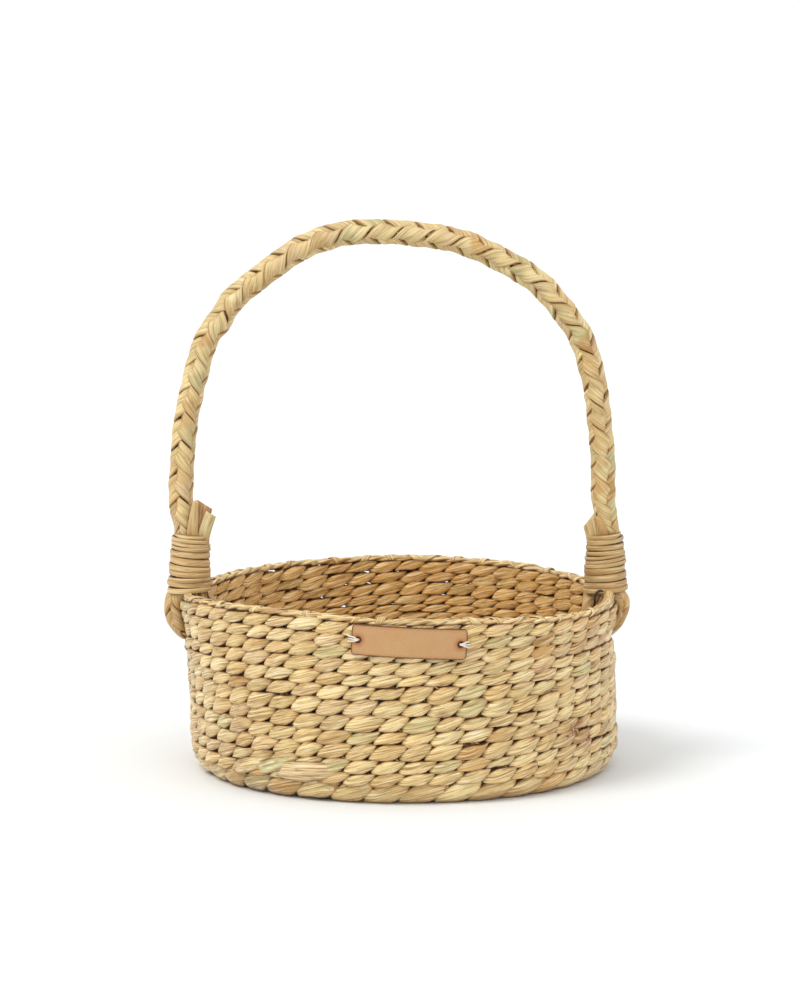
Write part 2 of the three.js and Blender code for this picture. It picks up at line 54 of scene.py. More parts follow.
# %% Place the camera
CAMERA_DISTANCE = 2600
CAMERA_RISE = math.radians(7.76)
AIM = (0.3, 0, 162.2)
FOCAL_SHARE = 4.297
SENSOR = 24
CLIP_METRES = 100


def new_object(name, data):
    made = bpy.data.objects.new(name, data)
    bpy.context.collection.objects.link(made)
    return made


camera_data = bpy.data.cameras.new("camera")
camera_data.sensor_fit = "VERTICAL"
camera_data.sensor_height = SENSOR
camera_data.lens = FOCAL_SHARE * SENSOR
camera_data.clip_end = CLIP_METRES
camera = new_object("camera", camera_data)
camera.location = (
    AIM[0] * MM,
    (AIM[1] - CAMERA_DISTANCE * math.cos(CAMERA_RISE)) * MM,
    (AIM[2] + CAMERA_DISTANCE * math.sin(CAMERA_RISE)) * MM,
)
camera.rotation_euler = (math.pi / 2 - CAMERA_RISE, 0, 0)
bpy.context.scene.camera = camera
print("camera height in mm:", round(camera.location.z / MM))

# %% [markdown]
# ## Adding nodes
# Every finish here is a small graph of shader nodes. One function adds a node: options go to the
# node itself, and each input gets a plain value or a link. Colours are laid over one another like
# paint, each one where some value, such as a noise, is high or low.

# %% Node and colour helpers
MIX_A, MIX_B, MIX_OUT = 6, 7, 2


def add_node(tree, kind, inputs=None, **options):
    node = tree.nodes.new(kind)
    for option, value in options.items():
        setattr(node, option, value)
    for socket, value in (inputs or {}).items():
        if isinstance(value, bpy.types.NodeSocket):
            tree.links.new(value, node.inputs[socket])
        else:
            node.inputs[socket].default_value = value
    return node


def linear(hex_colour):
    channels = [int(hex_colour[i : i + 2], 16) / 255 for i in (1, 3, 5)]
    bent = [c / 12.92 if c <= 0.04045 else ((c + 0.055) / 1.055) ** 2.4 for c in channels]
    return (*bent, 1.0)


def new_material(name, constants):
    material = bpy.data.materials.new(name)
    material.use_nodes = True
    shader = material.node_tree.nodes["Principled BSDF"]
    for socket, value in constants.items():
        shader.inputs[socket].default_value = value
    return material, material.node_tree, shader


def lay_colours(tree, shader, colour, layers):
    """Each layer has its full share where its value is at near, and none where it is at far."""
    for value, near, far, full_share, hue in layers:
        ends = {"From Min": near, "From Max": far, "To Min": full_share, "To Max": 0.0}
        share = add_node(tree, "ShaderNodeMapRange", {"Value": value, **ends}).outputs["Result"]
        both = {"Factor": share, MIX_A: colour, MIX_B: linear(hue)}
        colour = add_node(tree, "ShaderNodeMix", both, data_type="RGBA").outputs[MIX_OUT]
    tree.links.new(colour, shader.inputs["Base Color"])


print("mid straw in linear light:", [round(c, 3) for c in linear("#D9BA85")])

# %% [markdown]
# ## Floor and light
# A product photograph like this one has a white floor that runs out of sight, a large soft light
# high on the left and white walls that fill the shadows. The world stands for the walls.

# %% Make the floor and the lights
FLOOR_SIZE = 160

bpy.ops.mesh.primitive_plane_add(size=FLOOR_SIZE, location=(0, 0, 0))
floor = bpy.context.object
floor.name = "floor"
paper = {"Base Color": linear("#E8EBED"), "Roughness": 0.9, "Specular IOR Level": 0.0}
floor.data.materials.append(new_material("white paper", paper)[0])

world = bpy.data.worlds.new("studio")
bpy.context.scene.world = world
world.use_nodes = True
world.node_tree.nodes["Background"].inputs["Color"].default_value = (1.0, 1.0, 1.0, 1.0)
world.node_tree.nodes["Background"].inputs["Strength"].default_value = 0.95


def soft_sun(name, direction, width, strength, colour):
    """A very wide sun lights the whole floor evenly, as a big soft box does close to the object."""
    light = bpy.data.lights.new(name, "SUN")
    light.angle = math.radians(width)
    light.energy = strength
    light.color = linear(colour)[:3]
    holder = new_object(name, light)
    holder.location = direction
    holder.rotation_euler = (-holder.location).to_track_quat("-Z", "Y").to_euler()


soft_sun("key_left", (-1.9, -1.3, 3.2), 26, 1.3, "#FFFCF5")
soft_sun("fill_front", (1.2, -3.0, 2.2), 60, 0.38, "#FFFDFA")
bpy.context.scene.view_settings.view_transform = "Standard"
print("stage pieces: floor, two soft suns and the world")

# %% [markdown]
# ## Dry seagrass
# A strand is a bundle of long flat leaves, dried and twisted. What the eye sees is a straw colour
# that changes from stitch to stitch, fine ridges along each strand, a few dark splits between the
# leaves, and a soft waxy shine. On top of that the crests of the ridges get a painted highlight,
# and the creases get painted shade, warm on the flanks of a stitch and dark deep down. Each mesh
# carries
# three facts for this: "tint" is the stitch's own colour, "fibre" is the place inside the strand in
# mm, so ridges run along it however it bends, and the third is 0 deep in a crease, where the
# painted shade is darkest, and 1 on the outside, where there is none.

# %% Make the seagrass materials
# Each grain is (length in mm, width in mm, detail, roughness). Real leaf ribs are about 0.4 mm
# apart, which one pixel would swallow, so they are drawn at 1 mm.
RIB_GRAIN = (22, 1.0, 4.0, 0.62)
SPLIT_GRAIN = (40, 2.1, 2.0, 0.6)
PATCH_GRAIN = (11.111, 11.111, 2.0, 0.5)
SPLIT_HALF_WIDTH = 0.03
SPLIT_SHARE = 0.5


def seagrass(name, crease_shade_colour, roughness, rib_depth, dark_share, painted_highlight_share):
    wax = {"IOR": 1.45, "Sheen Weight": 0.08, "Sheen Roughness": 0.5}
    material, tree, shader = new_material(name, wax)
    tint, fibre, unshaded = [
        add_node(tree, "ShaderNodeAttribute", attribute_name=fact).outputs[output]
        for fact, output in (("tint", "Color"), ("fibre", "Vector"), ("unshaded", "Fac"))
    ]
    noises = []
    for long, wide, detail, rough in (RIB_GRAIN, SPLIT_GRAIN, PATCH_GRAIN):
        stretch = {"Vector": fibre, "Scale": (1 / long, 1 / wide, 1 / wide)}
        place = add_node(tree, "ShaderNodeMapping", stretch).outputs["Vector"]
        grain = {"Vector": place, "Scale": 1.0, "Detail": detail, "Roughness": rough}
        noises.append(add_node(tree, "ShaderNodeTexNoise", grain).outputs["Fac"])
    ribs, split_noise, patches = noises
    middle = add_node(tree, "ShaderNodeMath", {0: split_noise, 1: 0.5}, operation="SUBTRACT")
    off_middle = add_node(tree, "ShaderNodeMath", {0: middle.outputs[0]}, operation="ABSOLUTE")
    ends = {"From Max": SPLIT_HALF_WIDTH, "To Min": SPLIT_SHARE, "To Max": 0.0}
    split = {"Value": off_middle.outputs[0], **ends}
    splits = add_node(tree, "ShaderNodeMapRange", split).outputs["Result"]

    # Dark troughs of the ribs, a painted highlight on their crests, old patches, splits, then
    # painted
    # shade: warm on the flanks of a stitch and dark in its creases.
    layers = [
        (ribs, 0.34, 0.48, dark_share, "#7C4919"),
        (ribs, 0.65, 0.52, painted_highlight_share, "#FCF0CB"),
        (patches, 0.75, 0.45, 0.28, "#C0904F"),
        (splits, SPLIT_SHARE, 0.0, SPLIT_SHARE, "#7A5128"),
        (unshaded, 0.35, 0.85, 0.5, "#AE7732"),
        (unshaded, 0.05, 0.4, 0.95, crease_shade_colour),
    ]
    lay_colours(tree, shader, tint, layers)
    relief = add_node(tree, "ShaderNodeMath", {0: ribs, 1: splits}, operation="SUBTRACT")
    height = {"Height": relief.outputs[0], "Strength": 0.7, "Distance": rib_depth * MM}
    bump = add_node(tree, "ShaderNodeBump", height)
    tree.links.new(bump.outputs["Normal"], shader.inputs["Normal"])
    shine = {"Value": ribs, "To Min": roughness - 0.08, "To Max": roughness + 0.1}
    dull = add_node(tree, "ShaderNodeMapRange", shine)
    tree.links.new(dull.outputs["Result"], shader.inputs["Roughness"])
    return material


# Each takes the colour of its painted crease shade, roughness, rib depth, the share of the dark rib
# troughs and the share of the painted highlight on the rib crests.
wall_seagrass = seagrass("dry seagrass, twined", "#4E2507", 0.36, 0.65, 0.75, 0.66)
base_seagrass = seagrass("dry seagrass, base", "#5E3516", 0.55, 0.35, 0.45, 0.3)
braid_seagrass = seagrass("dry seagrass, braided leaf", "#452409", 0.42, 0.2, 0.42, 0.3)
cord_seagrass = seagrass("dry seagrass, twisted cord", "#4C290D", 0.42, 0.2, 0.5, 0.42)
stake_stem = seagrass("dry stem", "#5A3418", 0.7, 0.2, 0.4, 0.2)
print("seagrass materials:", [m.name for m in bpy.data.materials if "seagrass" in m.name])

# %% [markdown]
# ## Strands as tubes
# Every strand is a tube: a row of rings, each a closed line round the strand. One function turns
# the rings into a mesh and stores the three facts on its points.

# %% Turn rings into a mesh
def tube_faces(rings, sides, is_loop, first):
    ring = np.arange(rings if is_loop else rings - 1)[:, None]
    side = np.arange(sides)[None, :]
    here = ring * sides
    there = ((ring + 1) % rings) * sides
    after = (side + 1) % sides
    quads = np.stack([here + side, here + after, there + after, there + side], axis=-1)
    faces = (quads.reshape(-1, 4) + first).tolist()
    if not is_loop:
        faces.append([first + i for i in reversed(range(sides))])
        faces.append([first + (rings - 1) * sides + i for i in range(sides)])
    return faces


def store_on_points(mesh, name, kind, field, values):
    layer = mesh.attributes.new(name, kind, "POINT")
    layer.data.foreach_set(field, values.astype(np.float32).ravel())


def make_faces_point_out(piece):
    shell = bmesh.new()
    shell.from_mesh(piece.data)
    bmesh.ops.recalc_face_normals(shell, faces=shell.faces)
    shell.to_mesh(piece.data)
    shell.free()


def place_piece(piece, body, slot, *nodes):
    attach(piece, body)
    if nodes:
        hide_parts(*nodes)
    print(piece.name, "faces:", len(piece.data.polygons))


def strand_piece(name, strands, material, body, slot, *nodes):
    """One piece from strands: each is (rings of points in mm, fibre, tint, crown, is_loop)."""
    points, fibres, tints, unshaded_arrays, faces = [], [], [], [], []
    first = 0
    for rings, fibre, tint, unshaded, is_loop in strands:
        count, sides = rings.shape[:2]
        points.append(rings.reshape(-1, 3) * MM)
        fibres.append(fibre.reshape(-1, 3))
        tints.append(np.broadcast_to(tint, (count, sides, 3)).reshape(-1, 3))
        unshaded_arrays.append(np.broadcast_to(unshaded, (count, sides)).reshape(-1))
        faces += tube_faces(count, sides, is_loop, first)
        first += count * sides
    mesh = bpy.data.meshes.new(name)
    mesh.from_pydata(np.concatenate(points).tolist(), [], faces)
    colours = np.hstack([np.concatenate(tints), np.ones((first, 1))])
    store_on_points(mesh, "fibre", "FLOAT_VECTOR", "vector", np.concatenate(fibres))
    store_on_points(mesh, "tint", "FLOAT_COLOR", "color", colours)
    # The third fact says where painted shade goes: 0 is fully shaded, 1 is not shaded at all.
    store_on_points(mesh, "unshaded", "FLOAT", "value", np.concatenate(unshaded_arrays))
    mesh.polygons.foreach_set("use_smooth", np.ones(len(mesh.polygons), dtype=bool))
    mesh.materials.append(material)
    mesh.validate()
    piece = new_object(name, mesh)
    make_faces_point_out(piece)
    place_piece(piece, body, slot, *nodes)


print("a closed tube of 3 rings with 4 sides has faces:", len(tube_faces(3, 4, True, 0)))

# %% [markdown]
# ## Uneven by hand
# Nothing here was made by a machine, so sizes drift. A ripple is a smooth wave round the basket,
# and a stitch value changes from one stitch to the next where the strand dips behind its neighbour.

# %% Ripples, stitch values and tints
STRAW_ODDS = {
    "#DFC284": 0.34, "#E6CD92": 0.26, "#D5B375": 0.19, "#DEBF8A": 0.1,
    "#CDA262": 0.02, "#CBBC82": 0.05, "#DCBB84": 0.03, "#BF9453": 0.01,
}
TINT_SPREAD = 0.06
LONGEST_FIBRE = 500


def ripple(angle, seed, waves=6):
    chance = np.random.default_rng(seed)
    total = np.zeros_like(angle)
    for wave in range(1, waves + 1):
        size = chance.normal() / math.sqrt(waves)
        start = chance.uniform(0, 2 * math.pi)
        total = total + size * np.sin(wave * angle + start)
    return total


def per_stitch(values, place):
    count = len(values)
    at = place - 0.5
    low = np.floor(at).astype(int)
    ease = np.clip((at - low - 0.5) * 3 + 0.5, 0, 1)
    ease = ease * ease * (3 - 2 * ease)
    ease = ease.reshape(ease.shape + (1,) * (values.ndim - 1))
    return values[low % count] * (1 - ease) + values[(low + 1) % count] * ease


def tint_of(hex_colour):
    return np.array(linear(hex_colour)[:3])


def toward(tint, hex_colour, share):
    return tint * (1 - share) + tint_of(hex_colour) * share


def stitch_tints(count, chance, spread=TINT_SPREAD):
    palette = np.array([tint_of(tint) for tint in STRAW_ODDS])
    picked = palette[chance.choice(len(palette), size=count, p=list(STRAW_ODDS.values()))]
    return picked * (1 + spread * chance.normal(size=(count, 1)))


def strand_tints(stitches, place, chance, spread=TINT_SPREAD):
    return per_stitch(stitch_tints(stitches, chance, spread), place)[:, None, :]


def fibre_place(length, across, thick, chance):
    """Place inside the strand in mm, from a random start, so that no two strands look alike."""
    place = np.stack(np.broadcast_arrays(length, across, thick), axis=-1)
    return place + chance.uniform(0, LONGEST_FIBRE, size=3)


print("one ripple in mm:", np.round(ripple(np.linspace(0, 6, 4), 3), 2))

# %% [markdown]
# ## The twined stitch
# In twining, two strands twist half a turn between one stake and the next, so each passes in front
# of every second stake. Outside, each pass is a plump lens that leans up to the right, with its
# tips tucked under its neighbours. The phase is the angle of the twist: 0 outside, half a turn in.

# %% Shape one twined strand
STAKES = 48
STAKE_STEP = 2 * math.pi / STAKES
WALL_RADIUS = 125.2
STITCH_LENGTH = WALL_RADIUS * STAKE_STEP
SECTION_SIDES = 28
FIBRE_SLOPE = math.tan(math.radians(23))
# How much the stitches of a strand differ: share of their size, then mm outwards and upwards.
SIZE_SPREAD, BULGE_SPREAD, SHIFT_SPREAD = 0.11, 0.35, 0.4
# Height of a stitch as a share of its row, at its tucked tips and in its middle.
TIP_TALL, MIDDLE_TALL = 0.6, 1.14
FOLD_WIDTHS = (5.2, 2.9)
FOLD_DEPTH = 0.09
BEND = 1.6
# How boxy a stitch is outwards and upwards, and how far out from the stakes the painted shade of
# its creases reaches, in mm.
STITCH_BOX = (0.42, 0.8)
CREASE_SHADE_REACH = 2.2


def section(sides, out_power=1, up_power=1):
    """Cosine and sine round a strand: the lower its power, the boxier the strand is that way."""
    turn = np.arange(sides) / sides * 2 * math.pi
    waves = ((np.cos(turn), out_power), (np.sin(turn), up_power))
    return [np.sign(wave) * np.abs(wave) ** power for wave, power in waves]


def pleats(stitches, sides, chance):
    raw = chance.normal(size=(stitches, sides))
    return 0.22 * np.roll(raw, 1, axis=1) + 0.56 * raw + 0.22 * np.roll(raw, -1, axis=1)


def folds(height, place, stitches, chance):
    """Sharp valleys between the leaves of a strand, in mm, that differ from stitch to stitch."""
    total = 0
    for width in FOLD_WIDTHS:
        start = per_stitch(chance.uniform(0, 2 * math.pi, size=stitches), place)[:, None]
        total = total + width * (np.abs(np.sin(math.pi * height / width + start)) ** 0.6 - 0.75)
    return FOLD_DEPTH * total


def twined_strand(
    place, phase, stitches, row_height, swing, thick, chance,
    pitch=STITCH_LENGTH, sides=SECTION_SIDES,
):
    """Offsets outwards and upwards in mm from the middle of the row, with fibre, tint and crown."""
    facing = np.cos(phase)
    full = np.sin(math.pi / 2 * np.minimum(1, np.abs(facing) / 0.95))
    bend = np.tanh(BEND * facing) / math.tanh(BEND)
    size, bulge, shift = [
        per_stitch(middle + spread * chance.normal(size=stitches), place)
        for middle, spread in ((1, SIZE_SPREAD), (0, BULGE_SPREAD), (0, SHIFT_SPREAD))
    ]
    tall = row_height * (TIP_TALL + (MIDDLE_TALL - TIP_TALL) * full) * (1 + (size - 1) * full)
    deep = thick + 0.5 * swing * (1 - np.abs(bend))
    middle_out = swing * bend + bulge * facing
    middle_up = 0.25 * row_height * np.sign(np.sin(phase)) * (1 - full) + shift * full

    across, along = section(sides, *STITCH_BOX)
    from_middle = (phase / math.pi - np.round(phase / math.pi))[:, None] * pitch
    up = tall[:, None] / 2 * along
    slanted = up - FIBRE_SLOPE * from_middle * facing[:, None]
    relief = folds(slanted, place, stitches, chance) * (0.2 + 0.8 * full[:, None])
    outwards = middle_out[:, None] + (deep[:, None] / 2 + relief) * across
    upwards = middle_up[:, None] + up

    length = place[:, None] * pitch + FIBRE_SLOPE * facing[:, None] * up
    fibre = fibre_place(length, across * 2.0, slanted, chance)
    # Painted shade: darker nearer the middle of the wall, where the strands cross, and at the upper
    # and lower edges of each strand.
    to_edge = np.clip(np.abs(upwards) / row_height[:, None] * 2, 0, 1)
    unshaded = np.clip(np.abs(outwards) / CREASE_SHADE_REACH, 0, 1) * (1 - 0.3 * to_edge**6)
    unshaded = unshaded * (1 - 0.95 * np.abs(along) ** 4.5)
    return outwards, upwards, fibre, strand_tints(stitches, place, chance), unshaded


print("length of a wall stitch in mm:", round(STITCH_LENGTH, 1))

# %% [markdown]
# ## Heights of the rows
# The rows were read off the front of the basket, and they are not even. The rim is highest at the
# left front and dips beside the handle, where the rows also part to let the handle through. At the
# back the middle rows crowd upwards. The lower wall sits about 3 mm to the right of the rim.

# %% Sizes of the wall
ROW_EDGES = [12.2, 19.3, 27.0, 36.0, 44.1, 52.7, 61.7, 69.7, 77.2, 84.7, 92.2, 99.2, 106.0]
COURSES = len(ROW_EDGES) - 1
ROW_UNEVEN = 0.55
# At the back the rows near one height crowd upwards: the height, their reach and how far, in mm.
CROWDED_HEIGHT, CROWDED_REACH, CROWDING = 60, 13, 7
# The handle passes between two lips of this row's lower edge, which dips beside them. They part
# over this many stitches on each side of the foot, and close the faster the larger PASS_CLOSING.
PASS_ROW = 9
PASS_MIDDLE = 80.0
PASS_HALF = 3.8
PASS_DIP = 3.2
PASS_STITCHES, PASS_CLOSING = 0.55, 2.4
# The top of the rim at angles round the basket: 0 is the right foot, 90 the back, 270 the front.
RIM_TOPS = {
    0: 102.5, 30: 106.5, 55: 108.8, 88: 110.0, 110: 108.7, 140: 108.0, 165: 105.5, 180: 104.0,
    206: 110.4, 235: 112.5, 250: 112.0, 262: 109.6, 290: 109.2, 303: 107.0, 322: 104.2, 340: 103.8,
    360: 102.5,
}
RIM_SMOOTHING = (-8, -4, 0, 4, 8)
RIM_THICK = 3.3
# The wall stands upright above this height, and below it comes in and leans to the right.
UPRIGHT_HEIGHT = 78
FOOT_INSET = 0.8
LEAN = 3.0
# Beside the feet the handle pushes the rows above one height out, on the left and on the right.
BULGE_HEIGHT, BULGE_LEFT, BULGE_RIGHT = 84, 2.4, 1.4


def wall_top(angle):
    total = 0
    for shift in RIM_SMOOTHING:
        degrees = (np.degrees(angle) + shift) % 360
        total = total + np.interp(degrees, list(RIM_TOPS), list(RIM_TOPS.values()))
    return total / len(RIM_SMOOTHING) - RIM_THICK


def row_edge(row, angle, seen_from_above=True):
    """Height of the edge between two rows. At the feet one edge opens into two lips."""
    edge, bottom, top, passed = [ROW_EDGES[i] for i in (row, 0, -1, PASS_ROW)]
    crowding = CROWDING * math.exp(-(((edge - CROWDED_HEIGHT) / CROWDED_REACH) ** 2))
    crowding = crowding * np.clip(np.sin(angle), 0, 1)
    share = (edge - bottom) / (top - bottom)
    height = edge + (wall_top(angle) - top) * share**1.5 + crowding
    if 0 < row < COURSES:
        height = height + ROW_UNEVEN * ripple(angle, 40 + row)
    from_foot = np.abs(angle / math.pi - np.round(angle / math.pi)) * STAKES / 2
    opened = np.exp(-((PASS_CLOSING * np.clip(from_foot - PASS_STITCHES, 0, None)) ** 2))
    is_above = row > PASS_ROW or (row == PASS_ROW and seen_from_above)
    lip = PASS_MIDDLE + (PASS_HALF if is_above else -PASS_HALF)
    near = max(0.0, 1 - abs(edge - passed) / (top - passed + 1))
    return height + opened * near * (lip - passed + PASS_DIP)


def wall_point(angle, radius, height):
    """A point on the leaning wall: angles in radians, radius and height in mm."""
    rise = np.clip(height / UPRIGHT_HEIGHT, 0, 1)
    at_foot = np.abs(np.cos(angle)) ** 8 * np.clip((height - BULGE_HEIGHT) / 8, 0, 1)
    bulge = at_foot * np.where(np.cos(angle) < 0, BULGE_LEFT, BULGE_RIGHT)
    reach = radius - FOOT_INSET * (1 - rise) + bulge
    lean = LEAN * (1 - rise**2)
    point = (reach * np.cos(angle) + lean, reach * np.sin(angle), height)
    return np.stack(np.broadcast_arrays(*point), axis=-1)


print("row heights in mm:", np.round(np.diff(ROW_EDGES), 1).tolist())

# %% Weave the wall
STEPS_PER_STITCH = 18
WEFT_SWING = 3.0
WEFT_THICK = 4.2
STITCH_SLANT = 0.3
# How much painted warm shade the stitches get inside the basket.
INSIDE_WARM_SHADE = 0.46
# Brown marks on the outside: (angle in degrees, height in mm, half sizes of both, colour, share).
STAINS = [
    (320.8, 36.5, 5.0, 8.0, "#9A6734", 0.85),
    (326.5, 27.5, 4.0, 6.0, "#9F6B38", 0.75),
    (281.2, 54.1, 1.6, 2.4, "#8A5222", 0.8),
    (222.0, 8.0, 5.5, 4.0, "#8C5A2A", 0.4),
    (230.0, 4.0, 8.0, 3.0, "#8C5A2A", 0.4),
    (301.0, 3.0, 14.0, 3.0, "#94622F", 0.4),
    (248.0, 74.0, 2.2, 2.2, "#B0763A", 0.5),
]

wall_place = np.arange(STAKES * STEPS_PER_STITCH) / STEPS_PER_STITCH
wall_angle = wall_place * STAKE_STEP


def stained(tint, angle, height, outwards):
    for degrees, middle, half_width, half_height, colour, most in STAINS:
        across = (np.degrees(angle) - degrees) / half_width
        up = (height - middle) / half_height
        share = most * np.exp(-((across**2 + up**2) ** 1.5)) * (outwards > 0)
        tint = toward(tint, colour, share[..., None])
    return tint


def slant_of(outwards, upwards, row_height, step):
    """A stitch leans up to the right outside and to the left inside, by an angle in radians."""
    return STITCH_SLANT * np.clip(outwards / 2.5, -1, 1) * upwards / row_height * step


def wall_strand(course, is_upper):
    chance = np.random.default_rng(100 + 2 * course + is_upper)
    low, high = row_edge(course, wall_angle, True), row_edge(course + 1, wall_angle, False)
    phase = math.pi * (wall_place - 0.5 - course - is_upper)
    outwards, upwards, fibre, tint, unshaded = twined_strand(
        wall_place, phase, STAKES, high - low, WEFT_SWING, WEFT_THICK, chance
    )
    # Inside the basket the stitches get a painted warm shade, for light bounced round between the
    # walls.
    tint = toward(tint, "#E3A545", INSIDE_WARM_SHADE * np.clip(-outwards / 2, 0, 1)[..., None])
    height = (low + high)[:, None] / 2 + upwards
    tint = stained(tint, wall_angle[:, None], height, outwards)
    radius = WALL_RADIUS + outwards + 0.35 * ripple(wall_angle, 70 + course)[:, None]
    drift = 1.3 * ripple(wall_angle, 80 + course, 4) + ripple(wall_angle, 90 + course, 30)
    angle = (wall_angle + drift / WALL_RADIUS)[:, None]
    angle = angle + slant_of(outwards, upwards, (high - low)[:, None], STAKE_STEP)
    return wall_point(angle, radius, height), fibre, tint, unshaded, True


for course in range(COURSES):
    for is_upper, level in ((0, "lower"), (1, "upper")):
        name = f"wall_weft_{course + 1:02d}_{level}"
        strands = [wall_strand(course, is_upper)]
        strand_piece(f"seagrass_{name}", strands, wall_seagrass, "basket", "wall_weft", name)

# %% [markdown]
# ## Stakes
# The stakes are hidden by the weave, but a stiff stem shows through where two stitches part. Each
# one runs out between the two faces of the base and turns up into the wall.

# %% Make the stakes
STAKE_WIDTH = 3.0
SPOKE_HEIGHT = 5.0
SPOKE_START = 28


def unit(vectors):
    return vectors / (np.linalg.norm(vectors, axis=-1, keepdims=True) + 1e-9)


def sweep(path, first, second, across, up):
    """Rings round a path: every point lies across on the first direction and up on the second."""
    offset = across[..., None] * first[:, None, :] + up[..., None] * second[:, None, :]
    return path[:, None, :] + offset


def round_rings(path, width, sides, chance, tint):
    """A round strand along a path in mm: rings square to the path, with fibre, tint and crown."""
    along = unit(np.gradient(path, axis=0))
    is_steep = np.abs(along[:, 2]).max() >= 0.95
    first = unit(np.cross(along, (0.0, 1.0, 0.0) if is_steep else (0.0, 0.0, 1.0)))
    across, up = [np.broadcast_to(width, len(path))[:, None] / 2 * wave for wave in section(sides)]
    length = np.cumsum(np.linalg.norm(np.diff(path, axis=0, prepend=path[:1]), axis=1))
    fibre = fibre_place(length[:, None], across, up, chance)
    return sweep(path, first, np.cross(first, along), across, up), fibre, tint, 1.0, False


chance = np.random.default_rng(7)
stakes = []
for stake in range(STAKES):
    angle = (stake + 0.5) * STAKE_STEP
    heights = [SPOKE_HEIGHT, SPOKE_HEIGHT, SPOKE_HEIGHT + 2.5, 30, 60, wall_top(angle) - 1]
    radii = [SPOKE_START, WALL_RADIUS - 2.5] + [WALL_RADIUS] * 4
    line = wall_point(angle, np.array(radii), np.array(heights))
    stakes.append(round_rings(line, STAKE_WIDTH, 8, chance, tint_of("#B98F58")))
strand_piece("stems", stakes, stake_stem, "basket", "stake", "stakes")

# %% [markdown]
# ## Loose ends
# A seagrass strand is only about a metre long, so new ones are laid in all the time. The brown tips
# of the old and the new strand stick out of the creases here and there, most of all in one rough
# place at the right front.

# %% Let a few strand tips stick out
TIP_COUNT = 46
TIPS_PER_SPOT = 3
# The rough spots: (angle in degrees, height in mm).
ROUGH_SPOTS = ((320.5, 39), (322.0, 35), (319.0, 33), (326.5, 29), (328.0, 31), (281.2, 54))


def loose_tip(angle, height, reach, width, lean, chance):
    """A thin tip that comes out of a crease: the angle in radians, the rest in mm."""
    share = np.linspace(0, 1, 6)
    out = WALL_RADIUS + 2.0 + reach * np.sin(share * math.pi * 0.7)
    line = wall_point(angle + 0.012 * chance.normal() * share, out, height + lean * share)
    tint = tint_of(chance.choice(["#94602C", "#B27D42", "#C69C60"]))
    return round_rings(line, width * (1 - 0.6 * share), 8, chance, tint)


chance = np.random.default_rng(260)
tips = []
for tip in range(TIP_COUNT):
    angle = chance.uniform(0, 2 * math.pi)
    row = chance.integers(1, COURSES - 2)
    height = row_edge(row, angle) + 0.4 * chance.normal()
    reach, lean = 2.3 + 0.3 * chance.normal(), 1.2 * chance.normal()
    tips.append(loose_tip(angle, height, reach, 1.3, lean, chance))
for degrees, height in ROUGH_SPOTS:
    for tip in range(TIPS_PER_SPOT):
        angle = math.radians(degrees + 0.7 * chance.normal())
        spot = height + 1.0 * chance.normal()
        tips.append(loose_tip(angle, spot, 3.0, 2.3, 1.6 * chance.normal(), chance))
strand_piece("loose_tips", tips, wall_seagrass, "basket", "wall_weft")

# %% [markdown]
# ## Wide leaves
# At the left front the weaver started new leaves. They were laid over the lowest rows and are much
# wider than a stitch: a long pale one, and two slanted ones to its left.

# %% Lay the wide leaves
LEAF_RINGS, LEAF_SIDES = 26, 26
# How far out a leaf lies at its tucked tips, what the middle adds, and half its thickness, in mm.
TUCKED_OUT, MIDDLE_OUT, LEAF_HALF = 1.6, 4.2, 1.4
# Each leaf is (first and last angle in degrees, height at both, width, colour, seed).
WIDE_LEAVES = [
    (218.0, 231.0, 13.0, 21.5, 9.0, "#DDC28C", 281),
    (226.5, 240.5, 14.6, 24.6, 8.4, "#C6BB88", 282),
    (231.5, 253.5, 17.0, 20.2, 11.5, "#DFC595", 283),
]


def wide_leaf(first, last, low, high, wide, tint, seed):
    """A leaf that lies on the wall between two angles in degrees, with its ends tucked in."""
    chance = np.random.default_rng(seed)
    share = np.linspace(0, 1, LEAF_RINGS)
    full = np.sin(math.pi * share)[:, None] ** 0.55
    flat_out, along = section(LEAF_SIDES, 0.6, 0.9)
    step = share[:, None]
    up = wide / 2 * (0.25 + 0.75 * full) * along
    relief = folds(up - 0.3 * step * wide, share, 1, chance) * full
    radius = WALL_RADIUS + TUCKED_OUT + MIDDLE_OUT * full + (LEAF_HALF * full + relief) * flat_out
    angle = np.radians(first + (last - first) * step)
    rings = wall_point(angle, radius, low + (high - low) * step + up)
    fibre = fibre_place(step * 40 - 0.3 * up, flat_out * 2.0, up, chance)
    # Painted shade at the tucked ends and along the upper and lower edges of the leaf.
    unshaded = np.clip(full * 1.2, 0, 1) * (1 - 0.85 * np.abs(along) ** 4)
    return rings, fibre, tint_of(tint), unshaded, False


wide_leaves = [wide_leaf(*sizes) for sizes in WIDE_LEAVES]
strand_piece("wide_leaves", wide_leaves, wall_seagrass, "basket", "wall_weft")

# %% [markdown]
# ## Base
# The base is twined like the wall, in rings that grow from a knot in the middle, with the spokes
# between its two faces. Nearer the middle there are fewer spokes, so that the stitches keep their
# length. Here "outwards" of a stitch points down, so phase 0 is the underside.

# %% Weave the base
BASE_ROW = 7.7
BASE_SWING = 2.9
BASE_THICK = 3.2
BASE_EDGE = 119.0
BASE_STEPS = 8
BASE_SIDES = 16
BASE_RINGS = int(BASE_EDGE / BASE_ROW)
KNOT_HALF = 6
KNOT_WIDTH = 5.8
FLOOR_GAP = 0.1


